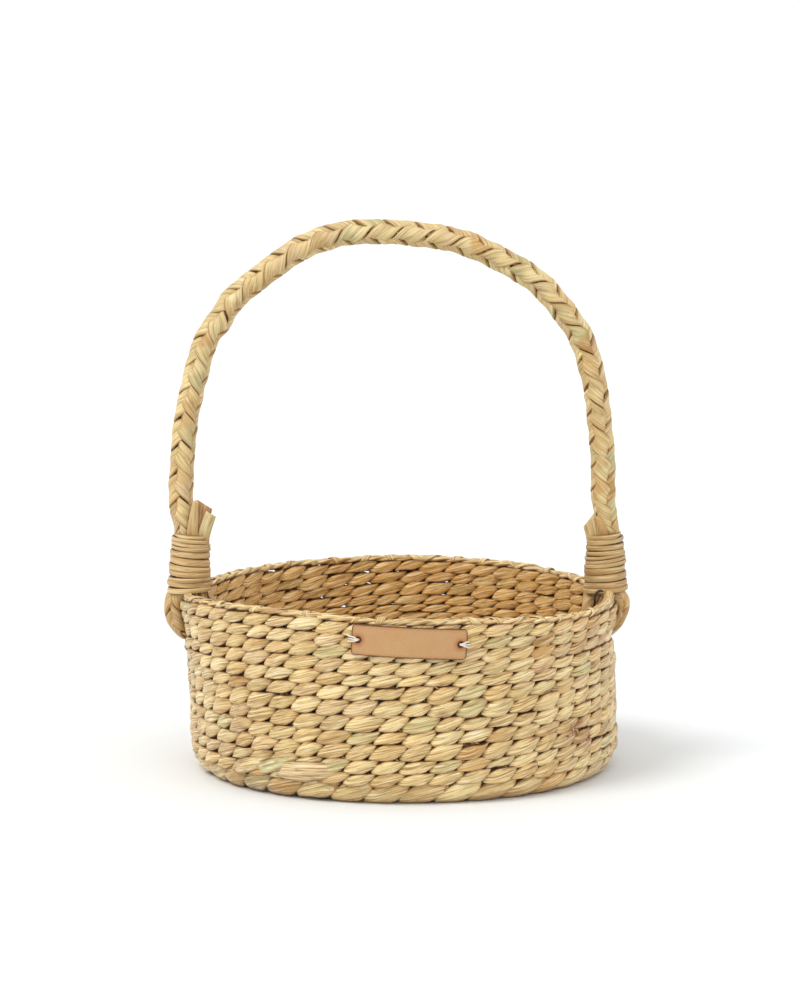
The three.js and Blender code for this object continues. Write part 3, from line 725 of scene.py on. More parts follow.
def base_strand(ring, radius, strand):
    chance = np.random.default_rng(300 + 2 * ring + strand)
    stitches = max(6, 2 * round(math.pi * radius / STITCH_LENGTH))
    place = np.arange(stitches * BASE_STEPS) / BASE_STEPS
    angle = place / stitches * 2 * math.pi
    phase = math.pi * (place - 0.5 - ring - strand)
    row_height = np.full(len(place), BASE_ROW)
    outwards, upwards, fibre, tint, unshaded = twined_strand(
        place, phase, stitches, row_height, BASE_SWING, BASE_THICK, chance, sides=BASE_SIDES
    )
    reach = radius + upwards + 0.5 * ripple(angle, 330 + ring)[:, None]
    height = np.maximum(SPOKE_HEIGHT - outwards, FLOOR_GAP)
    return wall_point(angle[:, None], reach, height), fibre, tint, unshaded, True


base_strands = []
for ring in range(BASE_RINGS):
    radius = BASE_EDGE - BASE_ROW * (BASE_RINGS - ring - 0.5)
    base_strands += [base_strand(ring, radius, strand) for strand in (0, 1)]
chance = np.random.default_rng(390)
knot_reach = np.linspace(-KNOT_HALF, KNOT_HALF, 11)
knot = wall_point(0.25 * np.sin(knot_reach), knot_reach, np.full(len(knot_reach), SPOKE_HEIGHT))
base_strands.append(round_rings(knot, KNOT_WIDTH, 14, chance, stitch_tints(1, chance)[0]))
base_nodes = ("base_weft_under", "base_weft_over")
strand_piece("base_weave", base_strands, base_seagrass, "basket", "base_weft", *base_nodes)

# %% [markdown]
# ## Foot rope
# The bottom edge is twined like the wall, but with thicker strands, so its stitches are a third
# longer. It curls in under the basket and is flattened where it stands.

# %% Twist the foot rope
FOOT_MIDDLE = 6.4
FOOT_RADIUS = 123.4
FOOT_HEIGHT = 12.6
FOOT_STITCHES = 36
FOOT_STEP = 2 * math.pi / FOOT_STITCHES
FOOT_STEPS = 24
FOOT_SWING = 2.4
FOOT_THICK = 4.6
FOOT_ROUND = 7.5
FOOT_ROUND_HEIGHT = 9

foot_place = np.arange(FOOT_STITCHES * FOOT_STEPS) / FOOT_STEPS
foot_angle = foot_place * FOOT_STEP
foot_strands = []
for strand in range(2):
    chance = np.random.default_rng(400 + strand)
    phase = math.pi * (foot_place - 0.5 - strand) + 0.3 * ripple(foot_angle, 410, 12)
    row_height = FOOT_HEIGHT + 0.9 * ripple(foot_angle, 411, 9)
    outwards, upwards, fibre, tint, unshaded = twined_strand(
        foot_place, phase, FOOT_STITCHES, row_height, FOOT_SWING, FOOT_THICK, chance,
        pitch=FOOT_RADIUS * FOOT_STEP,
    )
    height = np.maximum(FOOT_MIDDLE + upwards, FLOOR_GAP)
    curl = FOOT_ROUND * (1 - np.clip(height / FOOT_ROUND_HEIGHT, 0, 1)) ** 2
    angle = foot_angle[:, None] + slant_of(outwards, upwards, FOOT_HEIGHT, FOOT_STEP)
    rings = wall_point(angle, FOOT_RADIUS + outwards - curl, height)
    # Painted shade: the rope gets darker towards the floor, where it curls in under the basket.
    unshaded = unshaded * (0.35 + 0.65 * np.clip(height / 4, 0, 1))
    tint = stained(tint, foot_angle[:, None], height, outwards)
    foot_strands.append((rings, fibre, tint, unshaded, True))
strand_piece("foot_rope", foot_strands, wall_seagrass, "basket", "foot_rope", "foot_wale")

# %% [markdown]
# ## Rim border
# The top edge is thin: two fine twists lie side by side on the ends of the stakes, and at each
# stake a folded leaf comes over them, which makes the small knots that show along the rim. Beside
# the feet the thick ends of three strands lie on top and taper off along the rim.

# %% Lay the rim border
RIM_STEPS = 12
RIM_SIDES = 10
RIM_WIDTH = 2.3
RIM_LIFT = 1.6
RIM_LANES = (1.7, -1.7)
TWIST_OUT, TWIST_UP = 0.8, 0.7
RIM_LEAF = np.array([3.5, 2.0, 4.6])
RIM_LEAF_SPREAD = np.array([0.2, 0.25, 0.8])
RIM_LEAF_THICK = 0.8
# Each tapering end is (first and last angle in degrees, how far it stands up, width).
RIM_ENDS = ((-3.0, -40, 5.4, 6.6), (184, 208, 1.4, 6.0), (3.5, 30, 1.6, 5.0))

rim_place = np.arange(STAKES * RIM_STEPS) / RIM_STEPS
rim_angle = rim_place * STAKE_STEP


def rim_height(angle):
    return wall_top(angle) + RIM_LIFT


def rim_ply(lane, ply):
    """One ply of a fine twist that runs along the rim."""
    chance = np.random.default_rng(500 + 2 * lane + ply)
    phase = 2 * math.pi * (rim_place * 0.75 + ply / 2 + 0.2 * lane)
    out = RIM_LANES[lane] + TWIST_OUT * np.cos(phase) + 0.4 * ripple(rim_angle, 510 + lane, 12)
    up = TWIST_UP * np.sin(phase) + 0.35 * ripple(rim_angle, 520 + lane, 16)
    path = wall_point(rim_angle, WALL_RADIUS + out, rim_height(rim_angle) + up)
    width = RIM_WIDTH * (1 + 0.12 * ripple(rim_angle, 530 + 2 * lane + ply, 20))
    along = unit(np.roll(path, -1, axis=0) - np.roll(path, 1, axis=0))
    first = np.stack([np.cos(rim_angle), np.sin(rim_angle), 0 * rim_angle], axis=-1)
    relief = 1 + 0.1 * per_stitch(pleats(STAKES, RIM_SIDES, chance), rim_place)
    reach = width[:, None] / 2 * relief
    level, upright = section(RIM_SIDES)
    rings = sweep(path, first, np.cross(first, along), reach * level, reach * upright)
    length = rim_place[:, None] * STITCH_LENGTH
    fibre = fibre_place(length, level * 1.2, upright * 1.2, chance)
    # Each ply gets painted shade that deepens towards its underside.
    return rings, fibre, strand_tints(STAKES, rim_place, chance), 0.55 + 0.45 * upright, True


def leaf_over_rim(angle, reach, rise, width, chance):
    """A flat leaf folded over the rim, from the outside to the inside."""
    skew = 0.05 * chance.normal() + 0.03
    bow = np.linspace(-0.35 * math.pi, 1.3 * math.pi, 11)[:, None]
    level, upright = section(8)
    angles = angle + skew * np.linspace(-1, 1, len(bow))[:, None] + width / 2 * level / WALL_RADIUS
    lift = RIM_LEAF_THICK / 2 * upright
    height = rim_height(angle) + (rise + lift) * np.sin(bow)
    rings = wall_point(angles, WALL_RADIUS + (reach + lift) * np.cos(bow), height)
    fibre = fibre_place(bow * reach, level * width / 2, upright * RIM_LEAF_THICK, chance)
    # The side edges of the leaf get painted shade.
    return rings, fibre, stitch_tints(1, chance, 0.1)[0], 0.45 + 0.55 * (1 - level**4), False


rim_strands = [rim_ply(lane, ply) for lane in range(len(RIM_LANES)) for ply in (0, 1)]
chance = np.random.default_rng(550)
for stake in range(STAKES):
    angle = (stake + 0.5 + 0.1 * chance.normal()) * STAKE_STEP
    reach, rise, width = RIM_LEAF + RIM_LEAF_SPREAD * chance.normal(size=3)
    rim_strands.append(leaf_over_rim(angle, reach, rise, width, chance))
for first, last, rise, wide in RIM_ENDS:
    share = np.linspace(0, 1, 22)
    angle = np.radians(first + (last - first) * share) % (2 * math.pi)
    height = rim_height(angle) + rise * np.exp(-3.5 * share) - 0.6
    path = wall_point(angle, WALL_RADIUS + 0.6, height)
    width = wide * (1 - 0.6 * share) + 0.25 * ripple(share * 6, 560, 9)
    width = width * np.clip(share * 12 + 0.45, 0, 1)
    rim_strands.append(round_rings(path, width, 14, chance, stitch_tints(1, chance)[0]))
strand_piece("rim_edge", rim_strands, wall_seagrass, "basket", "rim_strand", "rim_border")

# %% [markdown]
# ## Path of the handle
# The handle is one braid. It comes up inside the basket, passes in through the wall and out, climbs
# outside to the binding, arches over, and does the same on the other side. The arch is a smooth
# line through points read as shares of its half span and of its rise.

# %% Lay out the handle's path
HALF_SPAN = 126.5
HANDLE_TOP = 332.7
HANDLE_WIDTH = 16.0
BINDING_BOTTOM = 104.9
BINDING_TOP = 141.8
ARCH_RISE = HANDLE_TOP - HANDLE_WIDTH / 2 - BINDING_TOP
ARCH_SHARES = [
    (-1.045, 0.106), (-1.038, 0.24), (-1.019, 0.374), (-0.978, 0.508), (-0.921, 0.642),
    (-0.854, 0.709), (-0.791, 0.776), (-0.677, 0.843), (-0.476, 0.942), (-0.285, 0.991),
    (-0.095, 1.0), (0.098, 0.99), (0.289, 0.967), (0.481, 0.909), (0.641, 0.843),
    (0.737, 0.776), (0.811, 0.709), (0.87, 0.642), (0.928, 0.508), (0.954, 0.374),
    (0.972, 0.24), (0.976, 0.106),
]
# Each station is (how far out, how high, thickness in the arch's plane, thickness across it). The
# right leg is slimmer below its binding, and turns in through the wall a little higher.
INNER_LEG = [
    (120.3, 131.0, 3.0, 9.0), (119.6, 106.0, 7.0, 10.0), (115.0, 99.5, 9.6, 12.5),
    (115.0, 89.0, 9.6, 12.5), (118.2, 81.8, 6.0, 9.5), (124.5, PASS_MIDDLE, 6.6, 6.6),
]
LEFT_LEG = [
    (130.6, 80.8, 8.4, 9.4), (134.4, 86.5, 11.6, 13.0), (136.6, 94.0, 13.4, 14.4),
    (136.3, 101.0, 13.8, 14.4), (132.9, 106.0, 14.0, 13.0), (131.6, 111.0, 10.8, 12.0),
    (130.4, 125.0, 10.6, 12.0), (131.2, 142.0, 10.6, 12.0),
]
RIGHT_LEG = [
    (129.6, 83.4, 6.6, 8.4), (133.0, 88.4, 7.6, 10.6), (135.6, 95.0, 8.8, 12.6),
    (135.2, 101.0, 10.4, 13.0), (131.0, 105.8, 12.6, 12.5), (129.4, 110.5, 10.6, 12.0),
    (128.4, 125.0, 10.8, 11.6), (128.4, 142.0, 11.4, 12.4),
]
PATH_STEPS = 24
LOOK_AHEAD = 1.5


def smooth_line(points, steps):
    """Catmull-Rom: a smooth line through every point, here with the widths carried along."""
    padded = np.concatenate([points[:1], points, points[-1:]])
    slopes = (padded[2:] - padded[:-2]) / 2
    t = np.arange(steps)[:, None] / steps
    line = (2 * t**3 - 3 * t**2 + 1) * points[:-1, None] + (t**3 - 2 * t**2 + t) * slopes[:-1, None]
    line = line + (3 * t**2 - 2 * t**3) * points[1:, None] + (t**3 - t**2) * slopes[1:, None]
    return np.concatenate([line.reshape(-1, points.shape[1]), points[-1:]])


left_foot = [(-out, *rest) for out, *rest in INNER_LEG + LEFT_LEG]
arch = [
    (out * HALF_SPAN, BINDING_TOP + rise * ARCH_RISE, HANDLE_WIDTH, HANDLE_WIDTH)
    for out, rise in ARCH_SHARES
]
dense = smooth_line(np.array(left_foot + arch + (INNER_LEG + RIGHT_LEG)[::-1]), PATH_STEPS)
gaps = np.linalg.norm(np.diff(dense[:, :2], axis=0), axis=1)
dense_length = np.concatenate([[0], np.cumsum(gaps)])
HANDLE_LENGTH = dense_length[-1]


def along_handle(distance):
    """Middle of the braid, outward direction and its two thicknesses, by distance in mm."""
    def path_at(place):
        return [np.interp(place, dense_length, column) for column in dense.T]

    out, up, thick, broad = path_at(distance)
    ahead, behind = path_at(distance + LOOK_AHEAD), path_at(distance - LOOK_AHEAD)
    level = np.zeros_like(out)
    middle = np.stack([out, level, up], axis=-1)
    outward = unit(np.stack([behind[1] - ahead[1], level, ahead[0] - behind[0]], axis=-1))
    return middle, outward, thick, broad


print("length of the handle in mm:", round(HANDLE_LENGTH))

# %% [markdown]
# ## The round braid
# Four flat leaves make it: two wind one way and two the other, and each goes over, under, over,
# under. Where a leaf is on top depends only on the side of the handle, so the stitches stack in
# columns, and two columns side by side make the V pattern. The columns creep round the handle.

# %% Braid the handle
BRAID_RADIUS = 4.0
BRAID_WAVE = 1.55
BRAID_STEP = 1.2
BRAID_SIDES = 28
STITCHES_PER_TURN = 4
LEAF_WIDTH = 11.6
LEAF_THICK = 3.4
LEAF_LINGER = 0.4
# Where the front seam lies, in degrees round from the outer side, by share of the length.
SEAM_SHARES = [0, 0.14, 0.25, 0.35, 0.45, 0.52, 0.6, 0.7, 0.8, 0.87, 1]
SEAM_DEGREES = [66, 66, 64, 60, 50, 42, 40, 44, 60, 84, 90]
# Length of one turn in mm: towards the right foot the leaves wind tighter.
BRAID_PITCHES = [34, 34, 34, 33, 34, 36, 36, 34, 29, 27, 27]
# The leaf of the handle is a little greyer than that of the wall, and below the bindings it gets a
# painted brown shade.
GREYER = np.array([0.89, 0.93, 0.99])
LEG_LENGTH = 95
LEG_PAINTED_SHADE = 0.5


def seam_angle(distance):
    degrees = np.interp(distance / HANDLE_LENGTH, SEAM_SHARES, SEAM_DEGREES)
    return np.radians(degrees - 45)


def braided_leaf(direction, start, chance):
    middle_at = np.arange(0, HANDLE_LENGTH, BRAID_STEP)
    flat, thin = section(BRAID_SIDES, 0.8, 0.8)
    pitch = np.interp(middle_at / HANDLE_LENGTH, SEAM_SHARES, BRAID_PITCHES)
    turns_at = np.cumsum(BRAID_STEP / pitch)
    place = turns_at * STITCHES_PER_TURN
    stitches = int(place[-1]) + 2
    size = per_stitch(1 + 0.06 * chance.normal(size=stitches), place)[:, None]
    relief = per_stitch(pleats(stitches, BRAID_SIDES, chance), place) * 0.16
    width = LEAF_WIDTH * size * flat / 2
    even = start + direction * 2 * math.pi * turns_at
    past_seam = 2 * (even - seam_angle(middle_at))
    on_top = direction * np.cos(past_seam)
    angle_at = (even - direction * LEAF_LINGER / 2 * np.sin(past_seam))[:, None]
    tilt = np.arctan(2 * math.pi * BRAID_RADIUS * (1 - LEAF_LINGER * on_top) / pitch)[:, None]
    distance = middle_at[:, None] - direction * width * np.sin(tilt)
    distance = np.clip(distance, 0, HANDLE_LENGTH)
    sideways = width * np.cos(tilt)
    shifted = angle_at + 0.6 * sideways / BRAID_RADIUS - seam_angle(distance)
    wave = direction * np.cos(2 * shifted)
    radial = BRAID_RADIUS + BRAID_WAVE * wave + (LEAF_THICK / 2 + relief) * thin
    angle = angle_at + np.arctan2(sideways, radial)
    reach = np.hypot(radial, sideways)
    middle, outward, thick, broad = along_handle(distance)
    rings = middle + (reach * np.cos(angle) * thick / HANDLE_WIDTH)[..., None] * outward
    rings[..., 1] -= reach * np.sin(angle) * broad / HANDLE_WIDTH
    fibre = fibre_place(middle_at[:, None] * 1.3, flat * 5.0, thin * 1.2, chance)
    # Painted shade where a leaf dips under the others and along its edges.
    unshaded = np.clip((reach - BRAID_RADIUS - 0.9) / 1.5, 0, 1) * (1 - 0.85 * np.abs(flat) ** 9)
    tint = strand_tints(stitches, place, chance) * GREYER
    # Painted shade: the legs below the bindings turn browner.
    from_end = np.minimum(middle_at, HANDLE_LENGTH - middle_at)[:, None, None]
    painted_leg_shade = LEG_PAINTED_SHADE * np.clip((LEG_LENGTH - from_end) / 8, 0, 1)
    return rings, fibre, toward(tint, "#A9783F", painted_leg_shade), unshaded, False


chance = np.random.default_rng(600)
leaves = [braided_leaf(direction, start, chance) for direction in (1, -1) for start in (0, math.pi)]
strand_piece("handle_plait", leaves, braid_seagrass, "handle", "handle_seagrass", "handle_braid")

# %% [markdown]
# ## Bindings
# One thin cord is wound about eleven times round both legs of the handle. The turns were pulled
# tight by hand: some are narrow, some broad, and a few cross their neighbours a little.

# %% Wind the bindings
TURN_HEIGHTS = [3.3, 3.3, 2.8, 3.3, 3.3, 4.6, 4.2, 2.8, 2.4, 2.5, 2.5]
TURNS = len(TURN_HEIGHTS)
CORD_STEPS = 36
CORD_SIDES = 14
CORD_DEEP = 2.9
CORD_OVERLAP = 1.06
CORD_PLEATS = 4
BINDING_DIP = 2.2
# Half sizes of the bound legs in mm: across at the bottom, how much slimmer on top, and in depth.
HALF_ACROSS, SLIMMER, HALF_DEEP = 10.9, 2.5, 8.5
# Each is (side, name, seed, first turn, tilt, middle at the bottom, how far in on top, colour).
BINDINGS = [
    (-1, "left_binding", 701, 0, 0.2, 127.6, 1.2, "#C8A875"),
    (1, "right_binding", 721, 3, 0.9, 125.1, 0.8, "#AA8A57"),
]


def binding_strand(side, seed, first_turn, slope, bottom, inwards, colour):
    chance = np.random.default_rng(seed)
    heights = np.roll(TURN_HEIGHTS, -first_turn)
    heights = heights * (BINDING_TOP - BINDING_BOTTOM - 1.0) / heights.sum()
    place = np.arange(TURNS * CORD_STEPS + 1) / CORD_STEPS
    edges = np.concatenate([[0], np.cumsum(heights)])
    rise = np.interp(place, np.arange(TURNS + 1), edges) / edges[-1]
    angle = place * 2 * math.pi
    tilts = slope + 0.5 * chance.normal(size=TURNS + 1)
    tilt = np.interp(place, np.arange(TURNS + 1), tilts) - BINDING_DIP * np.exp(-place / 1.4)
    tucked = np.clip(np.minimum(place, TURNS - place) / 0.15, 0.3, 1)
    across = HALF_ACROSS - SLIMMER * rise + CORD_DEEP / 2 - 1.6 * (1 - tucked)
    tall = np.interp(place - 0.5, np.arange(TURNS), heights) * CORD_OVERLAP * tucked
    dent = 0.4 * ripple(angle / TURNS, seed + 1, 40)
    low, high = BINDING_BOTTOM + tall[0] / 2, BINDING_TOP - tall[-1] / 2
    height = low + rise * (high - low) + tilt * np.cos(angle)
    boxy_out, boxy_up = section(CORD_SIDES, 0.7, 0.75)
    stitches = TURNS * CORD_PLEATS
    relief = 0.16 * per_stitch(pleats(stitches, CORD_SIDES, chance), place * CORD_PLEATS)
    out = (CORD_DEEP / 2 + dent[:, None] + relief) * boxy_out
    up = (tall[:, None] / 2 + relief) * boxy_up
    middle = (bottom - inwards * rise)[:, None]
    x = side * (middle + (across[:, None] + out) * np.cos(angle)[:, None])
    y = (HALF_DEEP + CORD_DEEP / 2 + out) * np.sin(angle)[:, None]
    rings = np.stack([x, y, height[:, None] + up], axis=-1)
    fibre = fibre_place(angle[:, None] * 11, boxy_out * 1.4, boxy_up * 1.9, chance)
    # Painted shade along the upper and lower edges of each turn, where it meets the next.
    unshaded = np.clip(1.05 - 1.25 * np.abs(boxy_up) ** 3, 0.0, 1)
    tint = toward(strand_tints(stitches, place * CORD_PLEATS, chance, 0.03), colour, 0.7)
    return rings, fibre, tint, unshaded, False


for side, name, *shape in BINDINGS:
    cord = [binding_strand(side, *shape)]
    strand_piece(f"{name}_cord", cord, cord_seagrass, "handle", "binding_cord", name)

# %% [markdown]
# ## Cut ends
# Above each binding the ends of two leaves stick out. The wide one is a leaf folded lengthwise and
# cut at a slant: the flap in front is pale, and the one behind shows the leaf's brown inside. The
# narrow one is a single strip. Each flap is a thin leaf between a left and a right edge.

# %% Make the cut ends
FLAP_THICK = 1.1
FLAP_RINGS, FLAP_SIDES = 12, 22
BELOW_TOP = 10
# Each flap is (side, both edges at the binding, both corners of the tip, depth, bow, colour, seed).
CUT_ENDS = {
    "left_wide_strand_end": [
        (-1, (122.4, 117.0), ((122.0, 162.6), (113.2, 157.0)), -2.6, 0.6, "#AD8350", 801),
        (-1, (123.0, 115.2), ((116.8, 156.4), (110.9, 152.6)), -4.2, 1.2, "#CDBB86", 802),
    ],
    "left_narrow_strand_end": [
        (-1, (129.0, 121.8), ((125.0, 162.4), (121.3, 163.2)), -5.6, 1.1, "#CFB27C", 803),
    ],
    "right_wide_strand_end": [
        (1, (113.6, 122.0), ((111.2, 146.6), (117.6, 155.0)), -4.4, 1.2, "#C9AD76", 804),
    ],
    "right_narrow_strand_end": [
        (1, (119.6, 127.4), ((117.2, 154.2), (123.4, 151.0)), -5.8, 0.9, "#C09A62", 805),
    ],
}


def flap(side, base, tip, depth, bow, tint, seed):
    """A thin leaf: base is (out, out) at the binding, tip is two (out, height) corners."""
    chance = np.random.default_rng(seed)
    share = np.linspace(0, 1, FLAP_RINGS)[:, None]
    rise = np.clip((share - 0.3) / 0.7, 0, 1)
    low = BINDING_TOP - BELOW_TOP
    outs = [foot + (corner[0] - foot) * rise**1.2 for foot, corner in zip(base, tip)]
    ups = [low + (corner[1] - low) * share for corner in tip]
    level, upright = section(FLAP_SIDES)
    width = (1 + level) / 2
    relief = 0.14 * pleats(1, FLAP_SIDES, chance)
    deep = depth - bow * np.sin(math.pi * width) * (0.6 + 0.4 * rise)
    deep = deep + (FLAP_THICK / 2 + relief) * upright
    out, up = [first * (1 - width) + second * width for first, second in (outs, ups)]
    rings = np.stack([side * out, deep, up], axis=-1)
    fibre = fibre_place(share * 25, width * abs(base[1] - base[0]), upright, chance)
    # Painted shade along the flap's side edges and towards the binding it comes out of.
    unshaded = (1 - 0.45 * level**12) * (0.4 + 0.6 * np.clip(share * 2.2 - 0.5, 0, 1))
    return rings, fibre, tint_of(tint), unshaded, False


for name, flaps in CUT_ENDS.items():
    strips = [flap(*sizes) for sizes in flaps]
    strand_piece(f"{name}_leaf", strips, braid_seagrass, "handle", "handle_seagrass", name)

# %% [markdown]
# ## Black wires
# A thin wire is hooked over the rim beside each foot of the handle. It is black lacquered iron,
# smooth and a little glossy.

# %% Bend the rim wires
WIRE_OFFSET = 12.0
WIRE_WIDTH = 1.4
# How far below its top the wire's parts lie: inside the rim, at both ends of the hook, and outside.
WIRE_INSIDE, WIRE_HOOK, WIRE_OUTSIDE = np.array([18, 5]), 4.5, np.array([7.5, 14])
# Each is (side, name, inner and outer reach, top, swerve to the side in degrees).
RIM_WIRES = [
    (-1, "left_rim_wire", 117.0, 127.6, 103.6, 0),
    (1, "right_rim_wire", 117.2, 126.0, 108.4, 1.2),
]

wire_material, wire_tree, wire_shader = new_material("black lacquered wire", {"Roughness": 0.3})
wire_noise = add_node(wire_tree, "ShaderNodeTexNoise", {"Scale": 900.0, "Detail": 2.0})
sheen = [(wire_noise.outputs["Fac"], 1.0, 0.0, 1.0, "#26262A")]
lay_colours(wire_tree, wire_shader, linear("#101012"), sheen)

chance = np.random.default_rng(900)
for side, name, inner, outer, top, swerve in RIM_WIRES:
    from_foot = math.asin(WIRE_OFFSET / WALL_RADIUS)
    angle = math.pi + from_foot if side < 0 else -from_foot
    bow = np.linspace(0, math.pi, 12)[:-2]
    middle, half = (inner + outer) / 2 - 1, (outer - inner) / 2 - 1
    out = np.concatenate([[inner, inner], middle - half * np.cos(bow), [outer, outer]])
    hook = top - WIRE_HOOK * (1 - np.sin(bow))
    up = np.concatenate([top - WIRE_INSIDE, hook, top - WIRE_OUTSIDE])
    turned = angle + math.radians(swerve) * np.clip((out - inner) / (outer - inner), 0, 1)
    path = smooth_line(wall_point(turned, out, up), 3)
    strand = round_rings(path, WIRE_WIDTH, 12, chance, (0.02, 0.02, 0.02))
    strand_piece(f"{name}_bent", [strand], wire_material, "basket", "rim_wire", name)

# %% [markdown]
# ## Leather tag
# The tag is vegetable-tanned cowhide, about 1.6 mm thick, cut with a laser: the cut burns the edge
# and the two holes dark brown, with a paler scorch round them. It lies on the bulging wall, so it
# is cut flat first and then bent round the wall. Its face is plain.

# %% Make the tag's leather
TAG_WIDTH = 67.0
TAG_HEIGHT = 18.0
TAG_THICK = 1.6
TAG_CORNER = 2.2
HOLE_WIDTH = 2.7
HOLE_OUT = TAG_WIDTH / 2 - 3.8
# Every step of the distances to the tag's rounded edge and to its holes: (name, operation, inputs).
TAG_STEPS = [
    ("sideways", "ABSOLUTE", "x"),
    ("height", "ABSOLUTE", "y"),
    ("end_side", "SUBTRACT", TAG_WIDTH / 2 - TAG_CORNER, "sideways"),
    ("end_up", "SUBTRACT", TAG_HEIGHT / 2 - TAG_CORNER, "height"),
    ("past_side", "MINIMUM", "end_side", 0.0),
    ("past_up", "MINIMUM", "end_up", 0.0),
    ("up_square", "MULTIPLY", "past_up", "past_up"),
    ("past_square", "MULTIPLY_ADD", "past_side", "past_side", "up_square"),
    ("past_corner", "SQRT", "past_square"),
    ("nearest_end", "MINIMUM", "end_side", "end_up"),
    ("inside", "MAXIMUM", "nearest_end", 0.0),
    ("round_edge", "SUBTRACT", TAG_CORNER, "past_corner"),
    ("even_edge", "ADD", "round_edge", "inside"),
    ("to_edge", "ADD", "even_edge", "wobble"),
    ("hole_side", "SUBTRACT", "sideways", HOLE_OUT),
    ("height_square", "MULTIPLY", "height", "height"),
    ("hole_square", "MULTIPLY_ADD", "hole_side", "hole_side", "height_square"),
    ("hole_length", "SQRT", "hole_square"),
    ("to_hole", "ADD", "hole_length", "wobble"),
]


def leather():
    smooth = {"Roughness": 0.58, "IOR": 1.48}
    material, tree, shader = new_material("vegetable-tanned leather, laser cut", smooth)
    place = add_node(tree, "ShaderNodeAttribute", attribute_name="tag_place").outputs["Vector"]
    wobble, grain, cloud = [
        add_node(tree, "ShaderNodeTexNoise", {"Vector": place, **noise}).outputs["Fac"]
        for noise in (
            {"Scale": 0.9, "Detail": 3.0},
            {"Scale": 1.3, "Detail": 5.0, "Roughness": 0.7},
            {"Scale": 0.12, "Detail": 2.0},
        )
    ]
    wobble = {"Value": wobble, "To Min": -0.35, "To Max": 0.35}
    found = {"wobble": add_node(tree, "ShaderNodeMapRange", wobble).outputs["Result"]}
    found["x"], found["y"], _ = add_node(tree, "ShaderNodeSeparateXYZ", {0: place}).outputs
    for name, operation, *values in TAG_STEPS:
        inputs = {i: found.get(value, value) for i, value in enumerate(values)}
        found[name] = add_node(tree, "ShaderNodeMath", inputs, operation=operation).outputs[0]
    layers = [
        (grain, 1.0, 0.0, 1.0, "#D1AB7A"),
        (cloud, 0.7, 0.4, 0.35, "#B58250"),
        (found["to_edge"], 0.5, 2.2, 0.45, "#A0622C"),
        (found["to_hole"], 1.8, 4.9, 0.85, "#A5581C"),
        (found["to_edge"], 0.25, 0.75, 0.95, "#4A2510"),
        (found["to_hole"], 1.7, 2.5, 0.97, "#34180A"),
    ]
    lay_colours(tree, shader, linear("#9C6C3E"), layers)
    pores = {"Height": grain, "Strength": 0.35, "Distance": 0.12 * MM}
    bump = add_node(tree, "ShaderNodeBump", pores)
    tree.links.new(bump.outputs["Normal"], shader.inputs["Normal"])
    return material


tag_leather = leather()
print("leather nodes:", len(tag_leather.node_tree.nodes))

# %% Cut the tag flat, then bend it round the wall
TAG_BACK = 130.2
TAG_MIDDLE_HEIGHT = 96.8
TAG_OFFSET = 5.8
TAG_TILT = math.radians(-3.2)
TAG_BEVEL = 0.18
CORNER_POINTS = 8
HOLE_POINTS = 24
SHARP_DEGREES = 40


def ring_of_points(middle_x, middle_y, radius, start, sweep, count):
    turns = [start + sweep * i / (count - 1) for i in range(count)]
    return [(middle_x + radius * math.cos(t), middle_y + radius * math.sin(t)) for t in turns]


def tag_point(side, outwards, up):
    level = side * math.cos(TAG_TILT) - up * math.sin(TAG_TILT)
    raised = side * math.sin(TAG_TILT) + up * math.cos(TAG_TILT)
    angle = -math.pi / 2 + (TAG_OFFSET + level) / TAG_BACK
    radius = TAG_BACK + outwards
    return radius * math.cos(angle), radius * math.sin(angle), TAG_MIDDLE_HEIGHT + raised


flat_curve = bpy.data.curves.new("tag_outline", "CURVE")
flat_curve.dimensions = "2D"
flat_curve.fill_mode = "BOTH"
flat_curve.extrude = TAG_THICK / 2 - TAG_BEVEL
flat_curve.bevel_depth = TAG_BEVEL
flat_curve.bevel_resolution = 2
corner_x, corner_y = [size / 2 - TAG_CORNER - TAG_BEVEL for size in (TAG_WIDTH, TAG_HEIGHT)]
outline = []
for i, (right, top) in enumerate([(1, -1), (1, 1), (-1, 1), (-1, -1)]):
    x, y = right * corner_x, top * corner_y
    quarter = math.pi / 2
    outline += ring_of_points(x, y, TAG_CORNER, (i - 1) * quarter, quarter, CORNER_POINTS)
hole_radius = HOLE_WIDTH / 2 + TAG_BEVEL
hole_sweep = -2 * math.pi * (HOLE_POINTS - 1) / HOLE_POINTS
holes = [
    ring_of_points(x, 0, hole_radius, 0, hole_sweep, HOLE_POINTS) for x in (-HOLE_OUT, HOLE_OUT)
]
for line in [outline] + holes:
    spline = flat_curve.splines.new("POLY")
    spline.points.add(len(line) - 1)
    for point, (x, y) in zip(spline.points, line):
        point.co = (x, y, 0, 1)
    spline.use_cyclic_u = True
curve_object = new_object("tag_outline", flat_curve)
evaluated = curve_object.evaluated_get(bpy.context.evaluated_depsgraph_get())
shape = bmesh.new()
shape.from_mesh(bpy.data.meshes.new_from_object(evaluated))
bpy.data.objects.remove(curve_object)
bmesh.ops.remove_doubles(shape, verts=shape.verts, dist=0.001)
for square, cuts in (((1, 0, 0), range(-32, 33, 2)), ((0, 1, 0), range(-6, 7, 3))):
    for cut in cuts:
        everything = shape.verts[:] + shape.edges[:] + shape.faces[:]
        spot = [cut * share for share in square]
        bmesh.ops.bisect_plane(shape, geom=everything, dist=0.0001, plane_co=spot, plane_no=square)
tag_mesh = bpy.data.meshes.new("tag")
shape.to_mesh(tag_mesh)
shape.free()
flat_places = np.array([tuple(vertex.co) for vertex in tag_mesh.vertices])
store_on_points(tag_mesh, "tag_place", "FLOAT_VECTOR", "vector", flat_places)
for vertex in tag_mesh.vertices:
    x, y, z = vertex.co
    vertex.co = [value * MM for value in tag_point(x, z + TAG_THICK / 2, y)]
